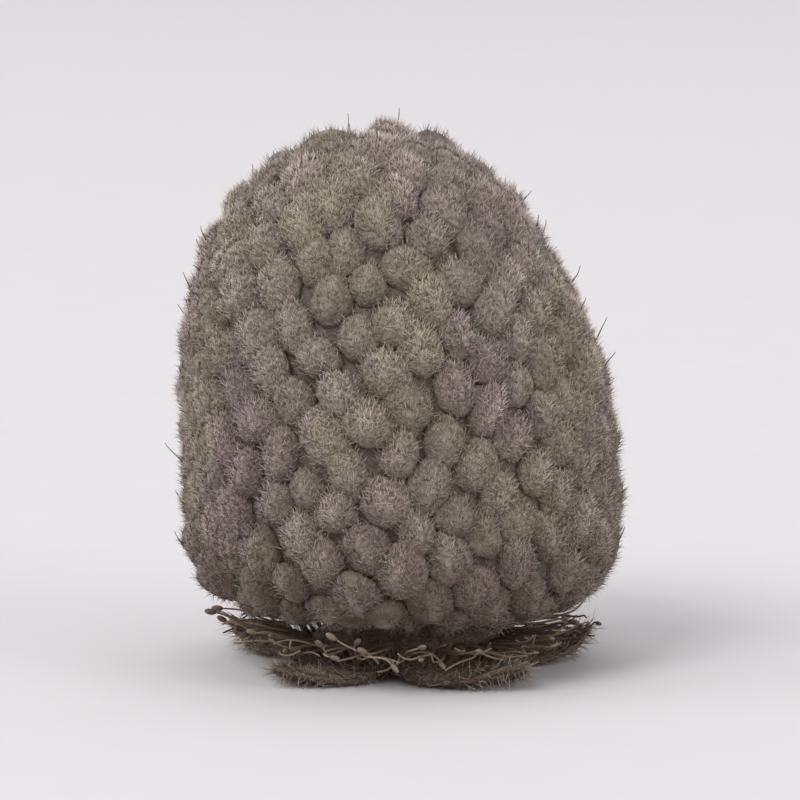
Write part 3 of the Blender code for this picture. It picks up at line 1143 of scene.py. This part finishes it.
# %% Fit the head to the frame
def fit_head(mesh):
    xs, ys, zs = zip(*[v.co for v in mesh.vertices])
    spread = (2 * HEAD_RADIUS - 2 * DOWN_ALLOWANCE) / (max(xs) - min(xs))
    rise = (BERRY_HEIGHT - DOWN_ALLOWANCE - HEAD_UNDERSIDE) / (max(zs) - min(zs))
    middle = Vector((max(xs) + min(xs), max(ys) + min(ys), 0)) / 2
    lowest = min(zs)
    for v in mesh.vertices:
        height = HEAD_UNDERSIDE + (v.co.z - lowest) * rise
        v.co = ((v.co.x - middle.x) * spread, (v.co.y - middle.y) * spread, height)
    print(f"head stretched by {spread:.3f} across and {rise:.3f} upwards")


fit_head(head.data)
for one_bead in list(beads.objects):
    bpy.data.objects.remove(one_bead)
bpy.data.collections.remove(beads)
keep(head, "drupelets", "drupelets")

# %% [markdown]
# ## Hairs
# Down is thousands of very short hairs. One hair is a three-sided spike of ten triangles that bends over,
# and a tree strews it over a mesh: more where the attribute down is high, leaning along a direction, each
# with its own length and turn. Hairs that would go below the surface that the berry stands on are pressed
# flat on it. The same tree makes the silvery down of the drupelets and the coarser wool of the calyx.

# %% One hair and the tree that strews it
LOWEST_THREAD = 0.01 * MM


def hair_mesh(name, rings, bend):
    """A three-sided spike one unit long and one unit thick at its root, bent over at its tip."""
    rows = []
    for share, width in rings:
        sway = Vector((0, bend * share**2, 0))
        rows.append([at(width / 2, a, share) + sway for a in round_angles(3)])
    bm = ring_mesh(rows, last_end=(0, bend, 1))
    bm.verts.ensure_lookup_table()
    bm.faces.new([bm.verts[i] for i in (2, 1, 0)])
    mesh = mesh_from(bm, name)
    point_values(mesh, "along", [min(1.0, max(0.0, v.co.z)) for v in mesh.vertices])
    return object_with(mesh, name)


def hair_tree():
    tree, given, result = geometry_group(
        "strewn_hairs",
        (
            ("Geometry", "Geometry"),
            ("Hair", "Object"),
            ("Density", 1.0),
            ("Length", 0.25 * MM),
            ("Length Change", 0.4),
            ("Thickness", 0.02 * MM),
            ("Lean", 0.6),
            ("Unruliness", 0.4),
            ("Outward Combing", 0.0),
            ("Seed", 1),
            ("Material", "Material"),
        ),
        (("Geometry", "Geometry"),),
    )
    seed = given["Seed"]
    combing = given["Outward Combing"]
    roots = add(
        tree,
        "GeometryNodeDistributePointsOnFaces",
        {"distribute_method": "RANDOM"},
        Mesh=given["Geometry"],
        Density=given["Density"] * named(tree, "down"),
        Seed=seed,
    )
    x, y, _ = parts_of(tree, place_of(tree))
    outward = vector(tree, "NORMALIZE", xyz(tree, x, y, 0.0))
    combed = scaled(tree, outward, combing)
    combed = vector(tree, "ADD", xyz(tree, 0.0, 0.0, 1 - combing), combed)
    wild = xyz(tree, *[either_way(tree, seed + step) for step in (1, 2, 3)])
    aim = scaled(tree, out(tree, roots, "Normal"), 1 - given["Lean"])
    aim = vector(tree, "ADD", aim, scaled(tree, combed, given["Lean"]))
    aim = vector(tree, "ADD", aim, scaled(tree, wild, given["Unruliness"]))
    turn = xyz(tree, 0.0, 0.0, either_way(tree, seed + 4) * math.pi)
    length = given["Length"] * (either_way(tree, seed + 5) * given["Length Change"] + 1)
    hairs = set_on(
        tree,
        out(tree, roots, "Points"),
        mesh_of(tree, given["Hair"]),
        Rotation=turned_by(tree, pointing(tree, aim), turn),
        Scale=xyz(tree, given["Thickness"], given["Thickness"], length),
    )
    real = made_real(tree, with_tint(tree, hairs, seed + 6, "INSTANCE"))
    finished(tree, above_floor(tree, real, LOWEST_THREAD), given["Material"], result["Geometry"])
    return tree


HAIRS = hair_tree()
short_hair = hair_mesh("short_hair", ((0.0, 1.0), (0.5, 0.8)), 6.0)
print("a hair has", triangles(short_hair.data), "triangles")

# %% [markdown]
# ## Down on the drupelets
# The down is dense on the backs of the drupelets and thins out in the grooves. It gives the berry its grey
# bloom and its soft edge. It is split into pieces, because one piece would be very heavy.

# %% Grow the down
DOWN_PIECES = 5
DOWN_HAIRS_PER_M2 = 53e6
DOWN_START = 0.20
DOWN_RISE = 0.34


def grow_down():
    crest = read_values(head.data, "crest")
    cover = [max(0.0, min(1.0, (share - DOWN_START) / DOWN_RISE)) for share in crest]
    tint = read_values(head.data, "tint")
    point_values(head.data, "down", [share * (0.45 + 1.00 * own) for share, own in zip(cover, tint)])
    for number in range(DOWN_PIECES):
        piece = run_tree(
            f"down_{number + 1}",
            HAIRS,
            start=head.data,
            Hair=short_hair,
            Density=DOWN_HAIRS_PER_M2,
            Length=0.21 * MM,
            Thickness=0.015 * MM,
            Lean=0.54,
            Unruliness=0.38,
            Seed=20 + 10 * number,
            Material=DOWN,
        )
        keep(piece, "drupelets")


grow_down()

# %% [markdown]
# ## Withered styles
# Each drupelet carried a style, a thread that caught the pollen. Many are still there as thin brown curls.
# The tree finds the peaks by the attribute apex, keeps a share of them, grows a short line on each, bends
# the line with noise that gets stronger towards its end, and gives it a round section that narrows.

# %% The tree for styles
STYLE_POINTS = 9
STYLE_SIDES = 5
STYLE_UPWARD_PULL = 1.5
CURL_GROWTH = 1.3


def straight_thread(tree, length, points):
    """A straight line of points, which stores how far along it each one is."""
    line = add(tree, "GeometryNodeCurvePrimitiveLine", Start=(0.0, 0.0, 0.0), End=(0.0, 0.0, length))
    fine = add(tree, "GeometryNodeResampleCurve", Curve=out(tree, line), Count=points)
    share = out(tree, tree.nodes.new("GeometryNodeSplineParameter"), "Factor")
    return stored(tree, out(tree, fine), "along", share)


def thread_from(tree, lines, radius, sides, seed):
    """Gives curves a closed round section with a radius of its own at each point, and each curve a tint."""
    ring = add(tree, "GeometryNodeCurvePrimitiveCircle", {"mode": "RADIUS"}, Resolution=sides, Radius=1.0)
    tinted = with_tint(tree, lines, seed, "CURVE")
    section = {"Profile_Curve": out(tree, ring), "Scale": radius, "Fill_Caps": True}
    return put(tree, "GeometryNodeCurveToMesh", Curve=tinted, **section)


def styles_tree():
    tree, given, result = geometry_group(
        "withered_styles",
        (
            ("Geometry", "Geometry"),
            ("Share", 0.36),
            ("Length", 0.40 * MM),
            ("Length Change", 0.5),
            ("Curl", 0.22 * MM),
            ("Curl Size", 0.7 * MM),
            ("Thickness", 0.038 * MM),
            ("Seed", 1),
            ("Material", "Material"),
        ),
        (("Geometry", "Geometry"),),
    )
    seed = given["Seed"]
    along = named(tree, "along")
    peak = named(tree, "apex").math("GREATER_THAN", 0.99)
    chosen = peak * chance(tree, 0.0, 1.0, seed).math("LESS_THAN", given["Share"])
    aim = vector(tree, "ADD", normal_of(tree), xyz(tree, 0.0, 0.0, STYLE_UPWARD_PULL))
    marked = stored(tree, given["Geometry"], "aim", aim, kind="FLOAT_VECTOR")
    roots = add(tree, "GeometryNodeMeshToPoints", Mesh=marked, Selection=chosen)
    length = given["Length"] * (either_way(tree, seed + 1) * given["Length Change"] + 1)
    grown = set_on(
        tree,
        out(tree, roots),
        straight_thread(tree, 1.0, STYLE_POINTS),
        Rotation=pointing(tree, named(tree, "aim", "FLOAT_VECTOR")),
        Scale=xyz(tree, length, length, length),
    )
    bend = swing(tree, place_of(tree), given["Curl Size"])
    strength = along**CURL_GROWTH * given["Curl"] * 2.6
    curled = moved_by(tree, made_real(tree, grown), scaled(tree, bend, strength))
    radius = (1 - along * 0.6) * given["Thickness"] * 0.5
    threads = thread_from(tree, curled, radius, STYLE_SIDES, seed + 2)
    finished(tree, threads, given["Material"], result["Geometry"])
    return tree


styles = run_tree("withered_styles", styles_tree(), start=head.data, Seed=4, Material=STYLE)
keep(styles, "drupelets")

# %% [markdown]
# ## The calyx sheet
# Under the head lies a disc with five pointed sepals, domed up in the middle over the stalk, and curled up
# at its tips. It is a polar grid: each column runs from the middle to the edge, and the edge's radius
# depends on how far the column is from the middle of its sepal. Two such sides, joined along the edge, make
# a thin closed sheet.

# %% The calyx's form
SEPALS = 5
DOME_HEIGHT = 1.66 * MM
DOME_RADIUS = 1.7 * MM
DOME_STEEPNESS = 3
FOOT_DEPTH = 0.1 * MM
FOOT_RADIUS = 3.0 * MM
NOTCH_RADIUS = 2.3 * MM
SEPAL_REACH = 4.7 * MM
SEPAL_TAPER = 0.87
SEPAL_CURL = 0.66 * MM
SEPAL_CURL_POWER = 1.7
SEPAL_EDGE_LIFT = 0.15 * MM
SEPAL_TURN = math.radians(-62)


def drawn(rng, amount):
    return amount * (2 * rng.random() - 1)


def draw_sepals():
    """The reach, curl and sway of each sepal."""
    rng = random.Random(11)
    sepals = []
    for _ in range(SEPALS):
        reach = SEPAL_REACH + drawn(rng, 0.3 * MM)
        curl = SEPAL_CURL + drawn(rng, 0.06 * MM)
        sepals.append((reach, curl, drawn(rng, math.radians(9))))
    return sepals


def underside_height(radius, across, curl):
    dome = DOME_HEIGHT * math.exp(-((radius / DOME_RADIUS) ** DOME_STEEPNESS))
    past_foot = max(0.0, (radius - FOOT_RADIUS) / (SEPAL_REACH - FOOT_RADIUS))
    edge = SEPAL_EDGE_LIFT * (across * radius / NOTCH_RADIUS) ** 2
    return max(0.0, dome + curl * past_foot**SEPAL_CURL_POWER + edge - FOOT_DEPTH)


SEPAL_DRAWS = draw_sepals()
print("sepals reach", [round(reach / MM, 2) for reach, _, _ in SEPAL_DRAWS], "mm")

# %% [markdown]
# The sheet is thick in the middle and thin at its edge. Veins run up each sepal and branch, and stand out a
# little. The leaf between them sank and crinkled, most of all near the edge.

# %% Build the calyx sheet
SHEET_THICKNESS = 0.42 * MM
EDGE_THICKNESS = 0.11 * MM
SHEET_RINGS = 34
SHEET_COLUMNS = 200
VEIN_RISE = 0.035 * MM
SLOPE_STEP = 0.05 * MM


def vein_at(share, across):
    """How much of a vein a place of a sepal is: its midrib, or one of the veins that branch from it."""
    midrib = math.exp(-((across * share / 0.05) ** 2)) * min(1, share * 3)
    branch = (share * 9 - across * 4) % 1
    side_veins = math.exp(-(((branch - 0.5) / 0.14) ** 2)) * min(1, across * 4) * min(1, share * 2) * 0.7
    return max(midrib, side_veins)


def ruffle_at(place, share, across):
    """How far the shrunken leaf is pushed up or down."""
    crinkle = noise.noise(place * 1100) + 0.5 * noise.noise(place * 2600)
    wave = noise.noise(place * 520) * 0.12 * share**2 * (1 - across * 0.5)
    return (crinkle * (0.02 + 0.10 * share**3) + wave) * MM


def sheet_column(angle, share):
    """The sheet's under and upper points, vein and edge at one angle and share of the reach."""
    turn = (angle - SEPAL_TURN) * SEPALS / (2 * math.pi)
    across = abs(turn - round(turn)) * 2
    reach, curl, sway = SEPAL_DRAWS[round(turn) % SEPALS]
    edge_radius = NOTCH_RADIUS + (reach - NOTCH_RADIUS) * (1 - across ** (1 / SEPAL_TAPER))
    radius = share * edge_radius
    outward = at(1, angle + sway * share**2 * (1 - across), 0)
    ahead = underside_height(radius + SLOPE_STEP, across, curl)
    behind = underside_height(max(0, radius - SLOPE_STEP), across, curl)
    normal = (UP - outward * (ahead - behind) / (2 * SLOPE_STEP)).normalized()
    under = outward * radius + UP * underside_height(radius, across, curl)
    thick = EDGE_THICKNESS + (SHEET_THICKNESS - EDGE_THICKNESS) * (1 - share**3)
    vein = vein_at(share, across)
    ruffle = ruffle_at(under, share, across)
    upper = under + normal * (thick + vein * VEIN_RISE + ruffle)
    under = under + normal * max(0.0, ruffle) * share**2
    return under, upper, vein, share**8


def calyx_sheet():
    bm = bmesh.new()
    angles = [SEPAL_TURN + angle for angle in round_angles(SHEET_COLUMNS)]
    shares = [(ring / SHEET_RINGS) ** 0.9 for ring in range(1, SHEET_RINGS + 1)]
    grid = [[sheet_column(angle, share) for angle in angles] for share in shares]
    middle = UP * (DOME_HEIGHT - FOOT_DEPTH)
    veins = []
    edges = []
    rims = []
    for side, centre in enumerate((middle, middle + UP * SHEET_THICKNESS)):
        hub = bm.verts.new(centre + AXIS)
        veins.append(0.0)
        edges.append(0.0)
        rings = []
        for row in grid:
            rings.append([bm.verts.new(column[side] + AXIS) for column in row])
            veins.extend(column[2] for column in row)
            edges.extend(column[3] for column in row)
        for i in range(SHEET_COLUMNS):
            j = (i + 1) % SHEET_COLUMNS
            bm.faces.new((hub, rings[0][i], rings[0][j]))
            for inner, outer in zip(rings, rings[1:]):
                bm.faces.new((inner[i], outer[i], outer[j], inner[j]))
        rims.append(rings[-1])
    for i in range(SHEET_COLUMNS):
        j = (i + 1) % SHEET_COLUMNS
        bm.faces.new((rims[0][i], rims[0][j], rims[1][j], rims[1][i]))
    bmesh.ops.recalc_face_normals(bm, faces=bm.faces)
    mesh = mesh_from(bm, "calyx_sheet")
    point_values(mesh, "vein", veins)
    point_values(mesh, "edge", edges)
    point_values(mesh, "down", [0.40 + 1.10 * edge for edge in edges])
    mesh.materials.append(LEAF)
    return object_with(mesh, "calyx_sheet")


calyx = calyx_sheet()
keep(calyx, "calyx", "calyx")
print("calyx sheet:", triangles(calyx.data), "triangles")

# %% [markdown]
# The outside of the sepals is woolly. The same hair tree grows the wool, with longer hairs that point
# outwards.

# %% Wool on the calyx
WOOL_HAIRS_PER_M2 = 60e6

long_hair = hair_mesh("long_hair", ((0.0, 1.0), (0.35, 0.85), (0.7, 0.6)), 9.0)
wool = run_tree(
    "calyx_wool",
    HAIRS,
    start=calyx.data,
    Hair=long_hair,
    Density=WOOL_HAIRS_PER_M2,
    Length=0.34 * MM,
    Length_Change=0.5,
    Thickness=0.018 * MM,
    Lean=0.62,
    Unruliness=0.5,
    Outward_Combing=1.0,
    Seed=71,
    Material=WOOL,
)
keep(wool, "calyx")

# %% [markdown]
# ## Stamens
# The withered stamens stay on the calyx all round. Each is a thread that starts at the disc, runs out under
# the head and curls, and some still end in a dry anther. The tree lays lines out in a circle and moves
# their points by that rule. The height of the head's underside comes from the same superellipse as its
# outline. The threads were pressed against the berry, so they are held within its width and above the
# surface that it stands on.

# %% The tree for stamens
ANTHER_RINGS = ((0.05, 0.22), (0.28, 0.46), (0.62, 0.50), (0.90, 0.30))
STAMEN_GAP = 0.34 * MM
STAMEN_POINTS = 19
STAMEN_SIDES = 6
START_SCATTER = 0.45
BEND_CHANGE = 0.30
SAG_CHANGE = 1.6


def anther_mesh():
    """A dry anther: a bean of two lobes, one unit long, that stands on its thread's end."""
    rings = []
    for height, width in ANTHER_RINGS:
        rings.append([at(width * (0.82 + 0.18 * math.cos(2 * a)), a, height) for a in round_angles(8)])
    mesh = mesh_from(ring_mesh(rings, (0, 0, 0), (0, 0, 1)), "anther")
    point_values(mesh, "along", [0.2 + 0.6 * v.co.z for v in mesh.vertices])
    return object_with(mesh, "anther")


def stamen_path(tree, given):
    """The place of each point of a stamen, from what its root stores and how far along it the point is."""
    along = named(tree, "along")
    free = named(tree, "root") + named(tree, "run") * along
    radius = free * ((free / given["Reach Limit"]) ** 8 + 1) ** (-1 / 8)
    rim = (1 - (radius / HEAD_RADIUS) ** LOWER_ROUNDNESS) ** (1 / LOWER_ROUNDNESS)
    underside = WIDEST_HEIGHT - rim * (WIDEST_HEIGHT - HEAD_UNDERSIDE)
    clear = steep(tree, along, 0.0, 0.22)
    height = (underside - STAMEN_GAP - named(tree, "sag") * along) * clear
    height = height + (1 - clear) * (SHEET_THICKNESS * 0.9)
    angle = named(tree, "start") + named(tree, "bend") * along * along
    path = xyz(tree, radius * angle.math("COSINE"), radius * angle.math("SINE"), height)
    apart = vector(tree, "ADD", path, xyz(tree, named(tree, "start"), named(tree, "run") * 900, 0.0))
    bend = swing(tree, apart, given["Curl Size"])
    curl = scaled(tree, bend, given["Curl"] * along * along * 2)
    return vector(tree, "ADD", vector(tree, "ADD", path, curl), given["Centre"])


def anthers_on(tree, given, lines):
    """Anthers on the ends of a share of the threads."""
    ends = put(tree, "GeometryNodeCurveEndpointSelection", Start_Size=0, End_Size=1)
    chosen = chance(tree, 0.0, 1.0, given["Seed"] + 6).math("LESS_THAN", given["Anther Share"])
    wide = given["Anther Length"] * 0.5
    anthers = set_on(
        tree,
        lines,
        mesh_of(tree, given["Anther"]),
        Selection=ends * chosen,
        Rotation=pointing(tree, out(tree, tree.nodes.new("GeometryNodeInputTangent"))),
        Scale=xyz(tree, wide, wide, given["Anther Length"]),
    )
    real = made_real(tree, with_tint(tree, anthers, given["Seed"] + 7, "INSTANCE"))
    return above_floor(tree, real, LOWEST_THREAD)


def stamens_tree():
    tree, given, result = geometry_group(
        "withered_stamens",
        (
            ("Count", 150),
            ("Root Radius", 2.35 * MM),
            ("Root Spread", 0.25 * MM),
            ("Length", 2.25 * MM),
            ("Length Change", 0.30),
            ("Sag", 0.13 * MM),
            ("Curl", 0.52 * MM),
            ("Curl Size", 1.1 * MM),
            ("Thickness", 0.075 * MM),
            ("Reach Limit", HEAD_RADIUS - 0.62 * MM),
            ("Anther", "Object"),
            ("Anther Share", 0.30),
            ("Anther Length", 0.30 * MM),
            ("Centre", AXIS),
            ("Seed", 1),
            ("Material", "Material"),
        ),
        (("Geometry", "Geometry"),),
    )
    seed = given["Seed"]
    shifted = number_of(tree) + either_way(tree, seed + 1) * START_SCATTER
    roots = put(tree, "GeometryNodePoints", Count=given["Count"])
    for name, value in (
        ("start", shifted * (2 * math.pi) / given["Count"]),
        ("bend", either_way(tree, seed + 2) * BEND_CHANGE),
        ("run", given["Length"] * (either_way(tree, seed + 3) * given["Length Change"] + 1)),
        ("sag", given["Sag"] * (either_way(tree, seed + 4) * SAG_CHANGE + 1)),
        ("root", given["Root Radius"] + either_way(tree, seed + 8) * given["Root Spread"]),
    ):
        roots = stored(tree, roots, name, value)
    laid = made_real(tree, set_on(tree, roots, straight_thread(tree, MM, STAMEN_POINTS)))
    lines = above_floor(tree, moved_to(tree, laid, stamen_path(tree, given)), given["Thickness"])
    width = (1 - named(tree, "along") * 0.45) * given["Thickness"] * 0.5
    threads = thread_from(tree, lines, width, STAMEN_SIDES, seed + 5)
    both = joined(tree, threads, anthers_on(tree, given, lines))
    finished(tree, both, given["Material"], result["Geometry"])
    return tree


anther = anther_mesh()
stamens = run_tree("withered_stamens", stamens_tree(), Seed=5, Anther=anther, Material=STAMEN)
keep(stamens, "calyx")

# %% [markdown]
# ## The stub of the stalk
# The stalk broke off short, up in the hollow of the calyx. It is a narrow woody rod with ridges along it,
# and its broken end is ragged.

# %% Build the stalk
STALK_RADIUS = 0.58 * MM
STALK_RINGS = ((0.0, 0.90), (0.12, 0.97), (0.25, 1.0), (0.45, 0.97), (0.65, 0.93), (0.85, 1.0), (1.0, 1.08))
STALK_SIDES = 42
STALK_LEAN = 0.12 * MM
PITH_RINGS = ((0.45, 0.10), (0.75, 0.03))
RAGGEDNESS = 0.22 * MM


def stalk_point(angle, share, width):
    ridges = 0.045 * math.sin(7 * angle + 2 * share) + 0.03 * math.sin(13 * angle - share)
    radius = STALK_RADIUS * width * (1 + 0.05 * math.cos(3 * angle) + ridges)
    ragged = RAGGEDNESS * abs(noise.noise(at(2.2, angle, 5))) * (1 - share) ** 6
    height = stalk_low.z + (stalk_high.z - stalk_low.z) * share + ragged
    return at(radius, angle, height) + Vector((STALK_LEAN * (1 - share), 0, 0)) + AXIS


def stalk_stub():
    angles = round_angles(STALK_SIDES)
    rings = [[stalk_point(angle, share, width) for angle in angles] for share, width in STALK_RINGS]
    pith = []
    for inset, depth in PITH_RINGS:
        pith.append([stalk_point(angle, 0.0, 0.9 * inset) + UP * depth * MM for angle in angles])
    low_middle = AXIS + Vector((STALK_LEAN, 0, stalk_low.z + 0.16 * MM))
    high_middle = AXIS + UP * stalk_high.z
    mesh = mesh_from(ring_mesh(pith + rings, low_middle, high_middle), "stalk_stub")
    point_values(mesh, "edge", [max(0.0, 1 - (v.co.z - stalk_low.z) / (0.25 * MM)) for v in mesh.vertices])
    mesh.materials.append(STEM)
    return object_with(mesh, "stalk_stub")


stalk = stalk_stub()
keep(stalk, "stalk", "stalk")
for scrap in (short_hair, long_hair, anther):
    bpy.data.objects.remove(scrap)
print("stalk:", triangles(stalk.data), "triangles")

# %% [markdown]
# ## Floor, light and camera
# The berry stands on a plain pale floor that curves up behind it, under large soft lamps. The camera is the
# photograph's: nearly level, a little from above, with a long lens.

# %% The floor
FLOOR_HEIGHT = -0.01 * MM
FLOOR_HALF_WIDTH = 0.6
FLOOR_FRONT = -0.5
FLOOR_BEND_START = 0.35
FLOOR_BEND_RADIUS = 0.15
FLOOR_TOP = 0.9
FLOOR_SHADES = ((0.490, 0.478, 0.488, 1), (0.508, 0.496, 0.506, 1))


def floor_material():
    made, tree, shader = new_material("pale_paper", 0.9)
    plug(tree, mix_colour(tree, cloud(tree, 2.0 * MM, 4.0), *FLOOR_SHADES), shader.inputs["Base Color"])
    return made


def build_floor():
    bm = bmesh.new()
    profile = [(FLOOR_FRONT, FLOOR_HEIGHT), (FLOOR_BEND_START, FLOOR_HEIGHT)]
    for turn in (math.pi / 2 * step / 12 for step in range(1, 13)):
        back = FLOOR_BEND_START + FLOOR_BEND_RADIUS * math.sin(turn)
        profile.append((back, FLOOR_BEND_RADIUS - FLOOR_BEND_RADIUS * math.cos(turn)))
    profile.append((FLOOR_BEND_START + FLOOR_BEND_RADIUS, FLOOR_TOP))
    rows = []
    for y, z in profile:
        rows.append([bm.verts.new((x, y, z)) for x in (-FLOOR_HALF_WIDTH, FLOOR_HALF_WIDTH)])
    for near, far in zip(rows, rows[1:]):
        bm.faces.new((near[0], near[1], far[1], far[0]))
    floor = object_with(mesh_from(bm, "pale_floor"), "pale_floor")
    floor.data.materials.append(floor_material())


build_floor()
print("floor laid")

# %% Light and camera
WORLD_LIGHT = (0.760, 0.743, 0.760, 1)
WORLD_SEEN = (0.890, 0.870, 0.890, 1)


def lamp(name, place, size, watts, target=(0, 0, 0.006)):
    light = bpy.data.lights.new(name, "AREA")
    light.shape = "DISK"
    light.size = size
    light.energy = watts
    holder = object_with(light, name)
    holder.location = place
    holder.rotation_euler = (Vector(target) - Vector(place)).to_track_quat("-Z", "Y").to_euler()


def soft_room():
    """An even world. The camera sees it as pale as the floor, so that the floor's end hardly shows."""
    world = bpy.data.worlds.new("soft_room")
    world.use_nodes = True
    tree = world.node_tree
    seen = out(tree, add(tree, "ShaderNodeLightPath"), "Is Camera Ray")
    plug(tree, mix_colour(tree, seen, WORLD_LIGHT, WORLD_SEEN), tree.nodes["Background"].inputs["Color"])
    bpy.context.scene.world = world


def add_camera(elevation, frame_height, lens, target):
    data = bpy.data.cameras.new("camera")
    data.lens = lens
    data.sensor_width = 36.0
    data.clip_start = 0.005
    data.clip_end = 10.0
    holder = object_with(data, "camera")
    back = Vector((0, -math.cos(elevation), math.sin(elevation)))
    holder.location = target + back * frame_height * lens / data.sensor_width
    holder.rotation_euler = (-back).to_track_quat("-Z", "Y").to_euler()
    bpy.context.scene.camera = holder


lamp("key_light", (-0.44, -0.54, 0.76), 0.50, 6.4)
lamp("left_light", (-1.70, -0.24, 0.90), 1.20, 13.0)
lamp("top_light", (0.06, 0.25, 0.95), 0.70, 2.3)
lamp("fill_light", (0.80, -0.45, 0.30), 0.60, 3.8)
soft_room()
bpy.context.scene.view_settings.view_transform = "Standard"
add_camera(math.radians(8), frame_height=19.0 * MM, lens=200.0, target=Vector((0, 0, 6.3 * MM)))
print("lights and camera ready")
